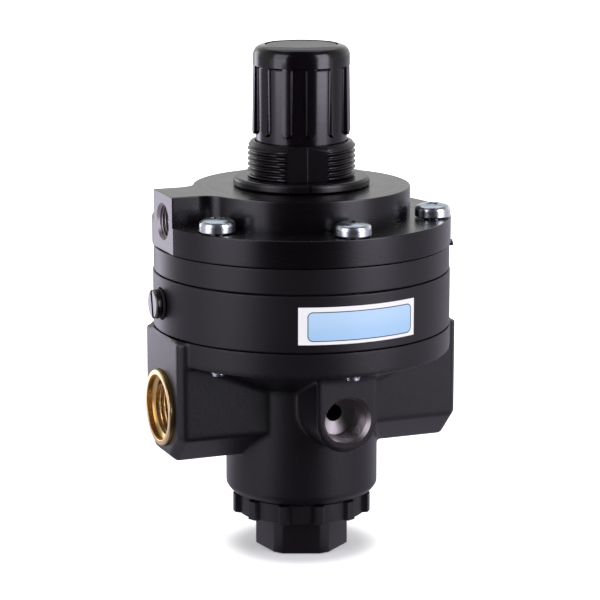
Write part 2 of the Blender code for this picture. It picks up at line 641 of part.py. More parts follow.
def make_body():
    """The cast lower body: tube, funnel and flange, the block of the main ports and two gauge bosses."""
    outside = [
        (0, BODY_TOP),
        (BODY_RADIUS, BODY_TOP),
        (BODY_RADIUS, BODY_FLANGE_BOTTOM),
        (FUNNEL_RADIUS, BODY_FLANGE_BOTTOM),
        (TUBE_RADIUS, FUNNEL_BOTTOM),
        (TUBE_RADIUS, BODY_BOTTOM + TUBE_CHAMFER_HEIGHT),
        (TUBE_RADIUS - TUBE_CHAMFER_WIDTH, BODY_BOTTOM),
        (0, BODY_BOTTOM),
    ]
    body = turned("lower_body", outside, OUTER_STEPS)

    block_top = BODY_TOP - BLOCK_TOP_DROP
    block_bottom = PORT_AXIS - BLOCK_DEPTH
    keel = BLOCK_HALF_WIDTH - BLOCK_LOWER_CHAMFER
    section = [
        (-BLOCK_HALF_WIDTH, block_top),
        (-BLOCK_HALF_WIDTH, block_bottom + BLOCK_LOWER_CHAMFER),
        (-keel, block_bottom),
        (keel, block_bottom),
        (BLOCK_HALF_WIDTH, block_bottom + BLOCK_LOWER_CHAMFER),
        (BLOCK_HALF_WIDTH, block_top),
    ]
    # The section's own x, y and z lie along the part's Y, Z and X.
    along_x = Matrix(((0, 0, 1, 0), (1, 0, 0, 0), (0, 1, 0, 0), (0, 0, 0, 1)))
    ports = extruded("port_block", section, -BODY_RADIUS, BODY_RADIUS, along_x)
    shape = bmesh.new()
    shape.from_mesh(ports.data)
    ends = [
        edge
        for edge in shape.edges
        if abs(edge.verts[0].co.x - edge.verts[1].co.x) < 1e-6
        and min(vert.co.z for vert in edge.verts) < block_top - 1e-6
    ]
    bmesh.ops.bevel(
        shape, geom=ends, offset=BLOCK_END_CHAMFER, offset_type="OFFSET", segments=1, affect="EDGES"
    )
    shape.to_mesh(ports.data)
    shape.free()

    # The boss outline's own x, y and z lie along the part's X, Z and -Y.
    along_y = Matrix(((1, 0, 0, 0), (0, 0, -1, 0), (0, 1, 0, 0), (0, 0, 0, 1)))
    boss_top = BODY_TOP - BODY_FLANGE_HEIGHT / 2
    boss_outline = [(GAUGE_BOSS_HALF_WIDTH, boss_top), (-GAUGE_BOSS_HALF_WIDTH, boss_top)]
    boss_steps = 12
    for i in range(boss_steps + 1):
        angle = math.pi + math.pi * i / boss_steps
        x = GAUGE_BOSS_HALF_WIDTH * math.cos(angle)
        z = GAUGE_BOSS_HALF_WIDTH * math.sin(angle)
        boss_outline.append((x, PORT_AXIS + z))
    bosses = extruded("gauge_bosses", boss_outline, -GAUGE_FACE, GAUGE_FACE, along_y)
    combine(body, "UNION", [ports, bosses])

    funnel_slope = FUNNEL_HEIGHT / (FUNNEL_RADIUS - TUBE_RADIUS)
    ledge_top = OUTLET_FLOOR + OUTLET_CHAMBER_LEDGE
    recess_floor = seal_recess(BODY_TOP, GASKET_THICKNESS)
    funnel_top = FUNNEL_BOTTOM + (GASKET_INNER_RADIUS - TUBE_RADIUS) * funnel_slope + FUNNEL_WALL
    funnel_foot = funnel_top - (GASKET_INNER_RADIUS - OUTLET_CHAMBER_RADIUS) * funnel_slope
    inside = [
        (0, BODY_TOP + OVERCUT),
        (SEAL_RECESS_RADIUS, BODY_TOP + OVERCUT),
        (SEAL_RECESS_RADIUS, recess_floor),
        (GASKET_INNER_RADIUS, recess_floor),
        (GASKET_INNER_RADIUS, funnel_top),
        (OUTLET_CHAMBER_RADIUS, max(funnel_foot, ledge_top)),
        (OUTLET_CHAMBER_RADIUS, OUTLET_FLOOR),
        (SEAT_RADIUS, OUTLET_FLOOR),
        (SEAT_RADIUS, SEAT),
        (INLET_CHAMBER_RADIUS, SEAT),
        (INLET_CHAMBER_RADIUS, PLUG_SPIGOT_TOP + CLEARANCE),
        (PLUG_BORE_RADIUS, PLUG_SPIGOT_TOP + CLEARANCE),
        (PLUG_BORE_RADIUS, BODY_BOTTOM - OVERCUT),
        (0, BODY_BOTTOM - OVERCUT),
    ]
    cuts = [turned("body_chambers", inside, CHAMBER_STEPS)]

    bush_floor = BODY_RADIUS + BUSH_STANDOUT - BUSH_LENGTH - CLEARANCE
    inlet_height = PORT_AXIS - INLET_DROP
    outlet_height = PORT_AXIS + OUTLET_RISE
    inside_wall = INLET_CHAMBER_RADIUS - OVERCUT
    for side, name, height in ((-1, "inlet", inlet_height), (1, "outlet", outlet_height)):
        bore_floor = (side * bush_floor, 0, PORT_AXIS)
        bore_mouth = (side * (BODY_RADIUS + OVERCUT), 0, PORT_AXIS)
        cuts.append(bar(f"{name}_bush_bore", BUSH_RADIUS + CLEARANCE, bore_floor, bore_mouth, PORT_STEPS))
        start = (side * inside_wall, 0, height)
        end = (side * (bush_floor + OVERCUT), 0, height)
        cuts.append(bar(f"{name}_passage", PASSAGE_RADIUS, start, end, SMALL_STEPS))

    gauge_floor = GAUGE_FACE - GAUGE_DEPTH
    for side, name in ((-1, "front"), (1, "rear")):
        mouth = GAUGE_THREAD_RADIUS + GAUGE_MOUTH_CHAMFER
        profile = [
            (0, GAUGE_FACE + OVERCUT),
            (mouth + OVERCUT, GAUGE_FACE + OVERCUT),
            (GAUGE_THREAD_RADIUS, GAUGE_FACE - GAUGE_MOUTH_CHAMFER),
            (GAUGE_THREAD_RADIUS, gauge_floor),
            (GAUGE_HOLE_RADIUS, gauge_floor),
            (GAUGE_HOLE_RADIUS, inside_wall),
            (0, inside_wall),
        ]
        cuts.append(turned(f"{name}_gauge_port", profile, PORT_STEPS, (0, 0, PORT_AXIS), (0, side, 0)))

    holes = screw_holes("body_screw_hole", SCREW_HOLE_RADIUS, FUNNEL_BOTTOM, BODY_TOP + OVERCUT)
    combine(body, "DIFFERENCE", cuts + holes)
    piece(body, BLACK_CASTING)


def make_port_bushes():
    """The two brass bushes that carry the main threads."""
    for side, name in ((-1, "port_bush_left"), (1, "port_bush_right")):
        face = BODY_RADIUS + BUSH_STANDOUT
        back = face - BUSH_LENGTH
        mouth = BUSH_THREAD_RADIUS + BUSH_MOUTH_CHAMFER
        shoulder = face - BUSH_THREAD_LENGTH
        throat = BUSH_THREAD_RADIUS - BUSH_STEP
        profile = [
            (mouth, face),
            (BUSH_RADIUS, face),
            (BUSH_RADIUS, back),
            (throat, back),
            (throat, shoulder),
            (BUSH_THREAD_RADIUS, shoulder),
            (BUSH_THREAD_RADIUS, face - BUSH_MOUTH_CHAMFER),
        ]
        piece(turned(name, profile, PORT_STEPS, (0, 0, PORT_AXIS), (side, 0, 0)), BRASS)


def make_gasket():
    """The flat gasket between the lower body and the mid ring."""
    low = BODY_TOP - GASKET_THICKNESS
    inner = GASKET_INNER_RADIUS + CLEARANCE
    profile = [(SEAL_SHEET_RADIUS, BODY_TOP), (SEAL_SHEET_RADIUS, low), (inner, low), (inner, BODY_TOP)]
    gasket = turned("body_gasket", profile, CHAMBER_STEPS)
    holes = screw_holes("gasket_hole", SCREW_HOLE_RADIUS, low - OVERCUT, BODY_TOP + OVERCUT)
    combine(gasket, "DIFFERENCE", holes)
    piece(gasket, RUBBER)


def make_diaphragm(name, top, bulge, tab):
    """A rubber sheet clamped at its rim and at its centre, with one rolled convolution between."""
    inner = STEM_JOURNAL_RADIUS + CLEARANCE
    start = PLATE_RADIUS + PLATE_EDGE_GAP
    end = start + CONVOLUTION_WIDTH
    steps = 3
    crest = [
        (start + CONVOLUTION_WIDTH * i / steps, bulge * CONVOLUTION_DEPTH * math.sin(math.pi * i / steps))
        for i in range(steps + 1)
    ]
    upper = [(inner, top)] + [(radius, top + rise) for radius, rise in crest] + [(SEAL_SHEET_RADIUS, top)]
    lower = [(radius, height - DIAPHRAGM_THICKNESS) for radius, height in reversed(upper)]
    sheet = turned(name, upper + lower, CHAMBER_STEPS)
    low = top - DIAPHRAGM_THICKNESS
    if tab:
        root = (end, -TAB_WIDTH / 2, low)
        tip = (BODY_RADIUS + TAB_STANDOUT, TAB_WIDTH / 2, top)
        combine(sheet, "UNION", [block(f"{name}_tab", root, tip, TAB_TURN - math.pi / 2)])
    holes = screw_holes(f"{name}_hole", SCREW_HOLE_RADIUS, low - OVERCUT, top + OVERCUT)
    combine(sheet, "DIFFERENCE", holes)
    piece(sheet, RUBBER)


def make_mid_ring():
    """The ring with the partition that guides the exhaust stem, and the bypass screw's bores."""
    recess_floor = seal_recess(MID_TOP, DIAPHRAGM_THICKNESS)
    groove_radius = STEM_BORE_RADIUS + 2 * STEM_O_RING_RADIUS + CLEARANCE
    groove_middle = (MID_BOTTOM + PARTITION_HUB_TOP) / 2
    groove_half = STEM_O_RING_RADIUS + CLEARANCE
    hub_radius = STEM_BORE_RADIUS + PARTITION_HUB_WALL
    outside = [(0, MID_TOP), (MID_RING_RADIUS, MID_TOP), (MID_RING_RADIUS, MID_BOTTOM), (0, MID_BOTTOM)]
    ring = turned("mid_ring", outside, OUTER_STEPS)
    chamber = [
        (0, MID_TOP + OVERCUT),
        (SEAL_RECESS_RADIUS, MID_TOP + OVERCUT),
        (SEAL_RECESS_RADIUS, recess_floor),
        (CHAMBER_RADIUS, recess_floor),
        (CHAMBER_RADIUS, PARTITION_TOP),
        (hub_radius, PARTITION_TOP),
        (hub_radius, PARTITION_HUB_TOP),
        (0, PARTITION_HUB_TOP),
    ]
    bore = [
        (0, PARTITION_HUB_TOP + OVERCUT),
        (STEM_BORE_RADIUS, PARTITION_HUB_TOP + OVERCUT),
        (STEM_BORE_RADIUS, groove_middle + groove_half),
        (groove_radius, groove_middle + groove_half),
        (groove_radius, groove_middle - groove_half),
        (STEM_BORE_RADIUS, groove_middle - groove_half),
        (STEM_BORE_RADIUS, MID_BOTTOM - OVERCUT),
        (0, MID_BOTTOM - OVERCUT),
    ]
    height = MID_BOTTOM + BYPASS_RISE
    hole = CHAMBER_RADIUS + BYPASS_HOLE_INSET
    seat = MID_RING_RADIUS - BYPASS_SEAT_DEPTH
    needle_hole = BYPASS_NEEDLE_RADIUS + CLEARANCE
    counterbore = BYPASS_SHANK_RADIUS + 2 * CLEARANCE + 2 * BYPASS_O_RING_RADIUS + CLEARANCE
    shank_hole = BYPASS_SHANK_RADIUS + CLEARANCE
    shank_end = seat + BYPASS_SEAT_DEPTH - BYPASS_SHANK_LENGTH
    profile = [
        (0, BODY_RADIUS + OVERCUT),
        (counterbore, BODY_RADIUS + OVERCUT),
        (counterbore, seat),
        (shank_hole, seat),
        (shank_hole, shank_end),
        (needle_hole, shank_end),
        (needle_hole, CHAMBER_RADIUS - OVERCUT),
        (0, CHAMBER_RADIUS - OVERCUT),
    ]
    hole_mouth = (-hole, 0, MID_BOTTOM - OVERCUT)
    cuts = [
        turned("feedback_chamber", chamber, CHAMBER_STEPS),
        turned("stem_bore", bore, INNER_STEPS),
        turned("bypass_bore", profile, INNER_STEPS, (0, 0, height), (-1, 0, 0)),
        bar("bypass_hole", BYPASS_HOLE_RADIUS, hole_mouth, (-hole, 0, height), SMALL_STEPS),
    ]
    cuts += screw_holes("mid_ring_hole", SCREW_HOLE_RADIUS, MID_BOTTOM - OVERCUT, MID_TOP + OVERCUT)
    combine(ring, "DIFFERENCE", cuts)
    piece(ring, BLACK_ANODISED)

    o_ring_radius = STEM_BORE_RADIUS + STEM_O_RING_RADIUS
    o_ring("stem_o_ring", o_ring_radius, STEM_O_RING_RADIUS, (0, 0, groove_middle))


def make_bypass_screw():
    """The slotted needle screw and the O-ring under its head."""
    height = MID_BOTTOM + BYPASS_RISE
    seat = MID_RING_RADIUS - BYPASS_SEAT_DEPTH
    ring_middle = seat + CLEARANCE + BYPASS_O_RING_RADIUS
    head_bottom = ring_middle + BYPASS_O_RING_RADIUS + CLEARANCE
    head_top = head_bottom + BYPASS_HEAD_HEIGHT
    shank_end = seat + BYPASS_SEAT_DEPTH - BYPASS_SHANK_LENGTH + CLEARANCE
    tip = CHAMBER_RADIUS + BYPASS_NEEDLE_TIP
    shoulder = tip + BYPASS_NEEDLE_RADIUS
    edge = BYPASS_HEAD_HEIGHT / 5
    profile = [
        (0, head_top),
        (BYPASS_HEAD_RADIUS - edge, head_top),
        (BYPASS_HEAD_RADIUS, head_top - edge),
        (BYPASS_HEAD_RADIUS, head_bottom),
        (BYPASS_SHANK_RADIUS, head_bottom),
        (BYPASS_SHANK_RADIUS, shank_end),
        (BYPASS_NEEDLE_RADIUS, shank_end),
        (BYPASS_NEEDLE_RADIUS, shoulder),
        (0, tip),
    ]
    screw = turned("bypass_screw", profile, INNER_STEPS, (0, 0, height), (-1, 0, 0))
    reach = BYPASS_HEAD_RADIUS + OVERCUT
    slot = block(
        "bypass_slot",
        (-head_top - OVERCUT, -BYPASS_SLOT_WIDTH / 2, height - reach),
        (BYPASS_SLOT_DEPTH - head_top, BYPASS_SLOT_WIDTH / 2, height + reach),
    )
    centre = Matrix.Translation((0, 0, height))
    slot.data.transform(centre @ Matrix.Rotation(BYPASS_SLOT_TURN, 4, "X") @ centre.inverted())
    combine(screw, "DIFFERENCE", [slot])
    piece(screw, STEEL)
    radius = BYPASS_SHANK_RADIUS + 2 * CLEARANCE + BYPASS_O_RING_RADIUS
    o_ring("bypass_o_ring", radius, BYPASS_O_RING_RADIUS, (-ring_middle, 0, height), (-1, 0, 0))


def make_spacer():
    """The ring between the diaphragms, vented to the open air."""
    recess_floor = seal_recess(SPACER_TOP, DIAPHRAGM_THICKNESS)
    outside = [
        (0, SPACER_TOP),
        (SPACER_RADIUS, SPACER_TOP),
        (SPACER_RADIUS, SPACER_BOTTOM),
        (0, SPACER_BOTTOM),
    ]
    ring = turned("spacer_ring", outside, OUTER_STEPS)
    chamber = [
        (0, SPACER_TOP + OVERCUT),
        (SEAL_RECESS_RADIUS, SPACER_TOP + OVERCUT),
        (SEAL_RECESS_RADIUS, recess_floor),
        (CHAMBER_RADIUS, recess_floor),
        (CHAMBER_RADIUS, SPACER_BOTTOM - OVERCUT),
        (0, SPACER_BOTTOM - OVERCUT),
    ]
    middle = (SPACER_BOTTOM + recess_floor) / 2
    notch_half = TAB_WIDTH / 2 + CLEARANCE
    notch_low = (SEAL_RECESS_RADIUS - OVERCUT, -notch_half, recess_floor)
    notch_high = (BODY_RADIUS + OVERCUT, notch_half, SPACER_TOP + OVERCUT)
    vent_start = (CHAMBER_RADIUS - OVERCUT, 0, middle)
    vent_end = (BODY_RADIUS + OVERCUT, 0, middle)
    cuts = [
        turned("vented_chamber", chamber, CHAMBER_STEPS),
        bar("vent", VENT_RADIUS, vent_start, vent_end, SMALL_STEPS),
        block("tab_notch", notch_low, notch_high, TAB_TURN - math.pi / 2),
    ]
    cuts += screw_holes("spacer_hole", SCREW_HOLE_RADIUS, SPACER_BOTTOM - OVERCUT, SPACER_TOP + OVERCUT)
    combine(ring, "DIFFERENCE", cuts)
    piece(ring, BLACK_ANODISED)


def make_stack():
    """The plates, spool, hollow stem and nut that the two diaphragms carry."""
    inner = STEM_JOURNAL_RADIUS + CLEARANCE
    lower = [
        (PLATE_RADIUS, LOWER_PLATE_TOP),
        (PLATE_RADIUS, LOWER_PLATE_BOTTOM),
        (inner, LOWER_PLATE_BOTTOM),
        (inner, LOWER_PLATE_TOP),
    ]
    piece(turned("lower_diaphragm_plate", lower, INNER_STEPS), ALUMINIUM)

    boss = inner + SPRING_BOSS_WALL
    upper = [
        (boss, SPRING_BOSS_TOP),
        (boss, UPPER_PLATE_TOP),
        (PLATE_RADIUS, UPPER_PLATE_TOP),
        (PLATE_RADIUS, UPPER_PLATE_BOTTOM),
        (inner, UPPER_PLATE_BOTTOM),
        (inner, SPRING_BOSS_TOP),
    ]
    piece(turned("upper_diaphragm_plate", upper, INNER_STEPS), ALUMINIUM)

    hub = inner + SPOOL_HUB_WALL
    spool = [
        (PLATE_RADIUS, SPOOL_TOP),
        (PLATE_RADIUS, SPOOL_TOP - SPOOL_DISC),
        (hub, SPOOL_TOP - SPOOL_DISC),
        (hub, SPOOL_BOTTOM + SPOOL_DISC),
        (PLATE_RADIUS, SPOOL_BOTTOM + SPOOL_DISC),
        (PLATE_RADIUS, SPOOL_BOTTOM),
        (inner, SPOOL_BOTTOM),
        (inner, SPOOL_TOP),
    ]
    spacer = turned("diaphragm_spacer", spool, INNER_STEPS)
    reach = hub + OVERCUT
    side = (reach, 0, EXHAUST_HOLE)
    other = (-reach, 0, EXHAUST_HOLE)
    combine(spacer, "DIFFERENCE", [bar("spool_hole", EXHAUST_HOLE_RADIUS, other, side, SMALL_STEPS)])
    piece(spacer, ALUMINIUM)

    shoulder = LOWER_PLATE_BOTTOM - CLEARANCE
    thread_top = SPRING_BOSS_TOP + STEM_THREAD_LENGTH
    bore_top = EXHAUST_HOLE + EXHAUST_HOLE_RADIUS
    profile = [
        (0, thread_top),
        (STEM_THREAD_RADIUS, thread_top),
        (STEM_THREAD_RADIUS, SPRING_BOSS_TOP),
        (STEM_JOURNAL_RADIUS, SPRING_BOSS_TOP),
        (STEM_JOURNAL_RADIUS, shoulder),
        (STEM_RADIUS, shoulder),
        (STEM_RADIUS, EXHAUST_SEAT),
        (EXHAUST_BORE_RADIUS, EXHAUST_SEAT),
        (EXHAUST_BORE_RADIUS, bore_top),
        (0, bore_top),
    ]
    stem = turned("exhaust_stem", profile, INNER_STEPS)
    across = STEM_JOURNAL_RADIUS + OVERCUT
    ends = ((-across, 0, EXHAUST_HOLE), (across, 0, EXHAUST_HOLE))
    combine(stem, "DIFFERENCE", [bar("stem_hole", EXHAUST_HOLE_RADIUS, *ends, SMALL_STEPS)])
    piece(stem, STEEL)

    nut_top = STACK_NUT_BOTTOM + STACK_NUT_HEIGHT
    nut = extruded("stack_nut", polygon(STACK_NUT_ACROSS_FLATS), STACK_NUT_BOTTOM, nut_top)
    low = (0, 0, STACK_NUT_BOTTOM - OVERCUT)
    high = (0, 0, nut_top + OVERCUT)
    combine(nut, "DIFFERENCE", [bar("nut_bore", STEM_THREAD_RADIUS + CLEARANCE, low, high, SMALL_STEPS)])
    piece(nut, ZINC)


def boss_outline():
    """The signal boss in plan: straight sides, and wide fillets that run into the round disc.

    It reaches past the boss's face, which one cut then makes flat, through the rim as well.
    """
    half = SIGNAL_BOSS_HALF_WIDTH
    fillet = SIGNAL_BOSS_FILLET
    centre_y = half + fillet
    centre_x = -math.sqrt((COVER_DISC_RADIUS + fillet) ** 2 - centre_y**2)
    # The arc starts where the straight side ends and stops where it touches the disc.
    end = math.atan2(-centre_y, -centre_x)
    start = -math.pi / 2
    steps = 6
    arc = []
    for i in range(steps + 1):
        angle = start + (end - start) * i / steps
        arc.append((centre_x + fillet * math.cos(angle), centre_y + fillet * math.sin(angle)))
    upper = [(-SIGNAL_FACE - OVERCUT, half)] + arc
    return upper + [(x, -y) for x, y in reversed(upper)]


def make_cover():
    """The machined cover with its raised disc and the signal port's boss."""
    outside = [
        (0, COVER_TOP),
        (COVER_DISC_RADIUS - COVER_EDGE, COVER_TOP),
        (COVER_DISC_RADIUS, COVER_TOP - COVER_EDGE),
        (COVER_DISC_RADIUS, COVER_RIM_TOP),
        (BODY_RADIUS - COVER_EDGE, COVER_RIM_TOP),
        (BODY_RADIUS, COVER_RIM_TOP - COVER_EDGE),
        (BODY_RADIUS, COVER_BOTTOM),
        (0, COVER_BOTTOM),
    ]
    cover = turned("top_cover", outside, OUTER_STEPS)
    boss = extruded("signal_boss", boss_outline(), COVER_BOTTOM, COVER_TOP)
    combine(cover, "UNION", [boss])

    roof = COVER_TOP - COVER_ROOF
    bore = SPIGOT_RADIUS + CLEARANCE
    inside = [
        (0, COVER_TOP + OVERCUT),
        (bore, COVER_TOP + OVERCUT),
        (bore, roof),
        (CHAMBER_RADIUS, roof),
        (CHAMBER_RADIUS, COVER_BOTTOM - OVERCUT),
        (0, COVER_BOTTOM - OVERCUT),
    ]
    port_floor = SIGNAL_FACE - SIGNAL_DEPTH
    port = [
        (0, SIGNAL_FACE + OVERCUT),
        (SIGNAL_THREAD_RADIUS + SIGNAL_MOUTH_CHAMFER + OVERCUT, SIGNAL_FACE + OVERCUT),
        (SIGNAL_THREAD_RADIUS, SIGNAL_FACE - SIGNAL_MOUTH_CHAMFER),
        (SIGNAL_THREAD_RADIUS, port_floor),
        (SIGNAL_PASSAGE_RADIUS, port_floor),
        (SIGNAL_PASSAGE_RADIUS, CHAMBER_RADIUS - OVERCUT),
        (0, CHAMBER_RADIUS - OVERCUT),
    ]
    height = COVER_BOTTOM + SIGNAL_RISE
    beside = SIGNAL_BOSS_HALF_WIDTH + OVERCUT
    beyond = (-BODY_RADIUS - 2 * OVERCUT, -beside, COVER_BOTTOM - OVERCUT)
    cuts = [
        block("signal_face", beyond, (-SIGNAL_FACE, beside, COVER_TOP + OVERCUT)),
        turned("signal_chamber", inside, CHAMBER_STEPS),
        turned("signal_port", port, PORT_STEPS, (0, 0, height), (-1, 0, 0)),
    ]
    cuts += screw_holes("cover_hole", SCREW_HOLE_RADIUS, COVER_BOTTOM - OVERCUT, COVER_RIM_TOP + OVERCUT)
    combine(cover, "DIFFERENCE", cuts)
    piece(cover, BLACK_ANODISED)


def make_bonnet():
    """The bonnet: spigot, panel flange, neck, and the tube that houses the range spring inside the knob."""
    spigot_bottom = COVER_TOP - SPIGOT_LENGTH
    roof = BONNET_TOP - BONNET_ROOF
    groove_radius = SPINDLE_BORE_RADIUS + 2 * SPINDLE_O_RING_RADIUS + CLEARANCE
    groove_middle = (roof + BONNET_TOP) / 2
    groove_half = SPINDLE_O_RING_RADIUS + CLEARANCE
    outside = [
        (0, BONNET_TOP),
        (BONNET_TUBE_RADIUS, BONNET_TOP),
        (BONNET_TUBE_RADIUS, NECK_GROOVE_FLOOR),
        (NECK_BORE_RADIUS, NECK_GROOVE_FLOOR),
        (NECK_BORE_RADIUS, NECK_TOP),
        (NECK_RADIUS - NECK_EDGE, NECK_TOP),
        (NECK_RADIUS, NECK_TOP - NECK_EDGE),
        (NECK_RADIUS, BONNET_FLANGE_TOP),
        (BONNET_FLANGE_RADIUS, BONNET_FLANGE_TOP),
        (BONNET_FLANGE_RADIUS, BONNET_BOTTOM),
        (SPIGOT_RADIUS, BONNET_BOTTOM),
        (SPIGOT_RADIUS, spigot_bottom),
        (0, spigot_bottom),
    ]
    bonnet = turned("bonnet", outside, KNOB_STEPS)
    inside = [
        (0, BONNET_TOP + OVERCUT),
        (SPINDLE_BORE_RADIUS, BONNET_TOP + OVERCUT),
        (SPINDLE_BORE_RADIUS, groove_middle + groove_half),
        (groove_radius, groove_middle + groove_half),
        (groove_radius, groove_middle - groove_half),
        (SPINDLE_BORE_RADIUS, groove_middle - groove_half),
        (SPINDLE_BORE_RADIUS, roof),
        (BONNET_BORE_RADIUS, roof),
        (BONNET_BORE_RADIUS, spigot_bottom - OVERCUT),
        (0, spigot_bottom - OVERCUT),
    ]
    groove = BONNET_BORE_RADIUS + NUT_GROOVE_DEPTH
    half = NUT_LUG_WIDTH / 2 + CLEARANCE
    groove_low = (-groove, -half, spigot_bottom - OVERCUT)
    groove_high = (groove, half, SPRING_NUT_TOP + CLEARANCE)
    cuts = [turned("bonnet_bore", inside, INNER_STEPS), block("nut_groove", groove_low, groove_high)]
    flat = NECK_RADIUS - NECK_FLAT_DEPTH
    beyond = NECK_RADIUS + OVERCUT
    for side, name in ((0, "front"), (math.pi, "rear")):
        low = (flat, -beyond, BONNET_FLANGE_TOP)
        high = (beyond, beyond, NECK_TOP + OVERCUT)
        cuts.append(block(f"{name}_neck_flat", low, high, NECK_FLAT_TURN + side - math.pi / 2))
    combine(bonnet, "DIFFERENCE", cuts)
    piece(bonnet, BLACK_PLASTIC)

    o_ring_radius = SPINDLE_BORE_RADIUS + SPINDLE_O_RING_RADIUS
    o_ring("spindle_o_ring", o_ring_radius, SPINDLE_O_RING_RADIUS, (0, 0, groove_middle))


def make_spindle():
    """The adjusting spindle, its washer, the spring nut that climbs it and the spring that it loads."""
    thread_end = SPRING_NUT_BOTTOM - SPRING_NUT_TRAVEL - SPINDLE_THREAD_END
    hex_bottom = BONNET_TOP + CLEARANCE
    profile = [
        (0, hex_bottom),
        (SPINDLE_RADIUS, hex_bottom),
        (SPINDLE_RADIUS, COLLAR_TOP),
        (COLLAR_RADIUS, COLLAR_TOP),
        (COLLAR_RADIUS, COLLAR_BOTTOM),
        (SPINDLE_RADIUS, COLLAR_BOTTOM),
        (SPINDLE_RADIUS, thread_end),
        (0, thread_end),
    ]
    spindle = turned("adjusting_spindle", profile, INNER_STEPS)
    outline = polygon(SPINDLE_HEX_ACROSS_FLATS)
    hexagon = extruded("spindle_hexagon", outline, hex_bottom - OVERCUT, SPINDLE_TOP)
    combine(spindle, "UNION", [hexagon])
    low = (0, 0, SPINDLE_TOP - KNOB_SCREW_LENGTH - CLEARANCE)
    high = (0, 0, SPINDLE_TOP + OVERCUT)
    bore = bar("spindle_bore", KNOB_SCREW_RADIUS + CLEARANCE, low, high, SMALL_STEPS)
    combine(spindle, "DIFFERENCE", [bore])
    piece(spindle, STEEL)

    washer_low = THRUST_WASHER_TOP - THRUST_WASHER_THICKNESS
    washer_radius = COLLAR_RADIUS + THRUST_WASHER_OVERHANG
    washer = [
        (washer_radius, THRUST_WASHER_TOP),
        (washer_radius, washer_low),
        (SPINDLE_BORE_RADIUS, washer_low),
        (SPINDLE_BORE_RADIUS, THRUST_WASHER_TOP),
    ]
    piece(turned("thrust_washer", washer, INNER_STEPS), BRASS)

    screw_low = SPINDLE_TOP - KNOB_SCREW_LENGTH
    profile = [
        (0, KNOB_SCREW_HEAD_TOP),
        (KNOB_SCREW_HEAD_RADIUS, KNOB_SCREW_HEAD_TOP),
        (KNOB_SCREW_HEAD_RADIUS, KNOB_SCREW_HEAD_BOTTOM),
        (KNOB_SCREW_RADIUS, KNOB_SCREW_HEAD_BOTTOM),
        (KNOB_SCREW_RADIUS, screw_low),
        (0, screw_low),
    ]
    piece(turned("knob_retaining_screw", profile, SMALL_STEPS), ZINC)

    nut = [
        (SPRING_NUT_RADIUS, SPRING_NUT_TOP),
        (SPRING_NUT_RADIUS, SPRING_NUT_BOTTOM),
        (SPINDLE_BORE_RADIUS, SPRING_NUT_BOTTOM),
        (SPINDLE_BORE_RADIUS, SPRING_NUT_TOP),
    ]
    spring_nut = turned("spring_nut", nut, INNER_STEPS)
    lugs = []
    for side, name in ((0, "right"), (math.pi, "left")):
        low = (SPRING_NUT_RADIUS - OVERCUT, -NUT_LUG_WIDTH / 2, SPRING_NUT_BOTTOM)
        high = (SPRING_NUT_RADIUS + NUT_GROOVE_DEPTH, NUT_LUG_WIDTH / 2, SPRING_NUT_TOP)
        lugs.append(block(f"{name}_lug", low, high, side))
    combine(spring_nut, "UNION", lugs)
    piece(spring_nut, BRASS)
    coil(
        "range_spring", RANGE_SPRING_RADIUS, RANGE_SPRING_WIRE_RADIUS,
        UPPER_PLATE_TOP + CLEARANCE, SPRING_NUT_BOTTOM - CLEARANCE, RANGE_SPRING_TURNS, STEEL,
    )


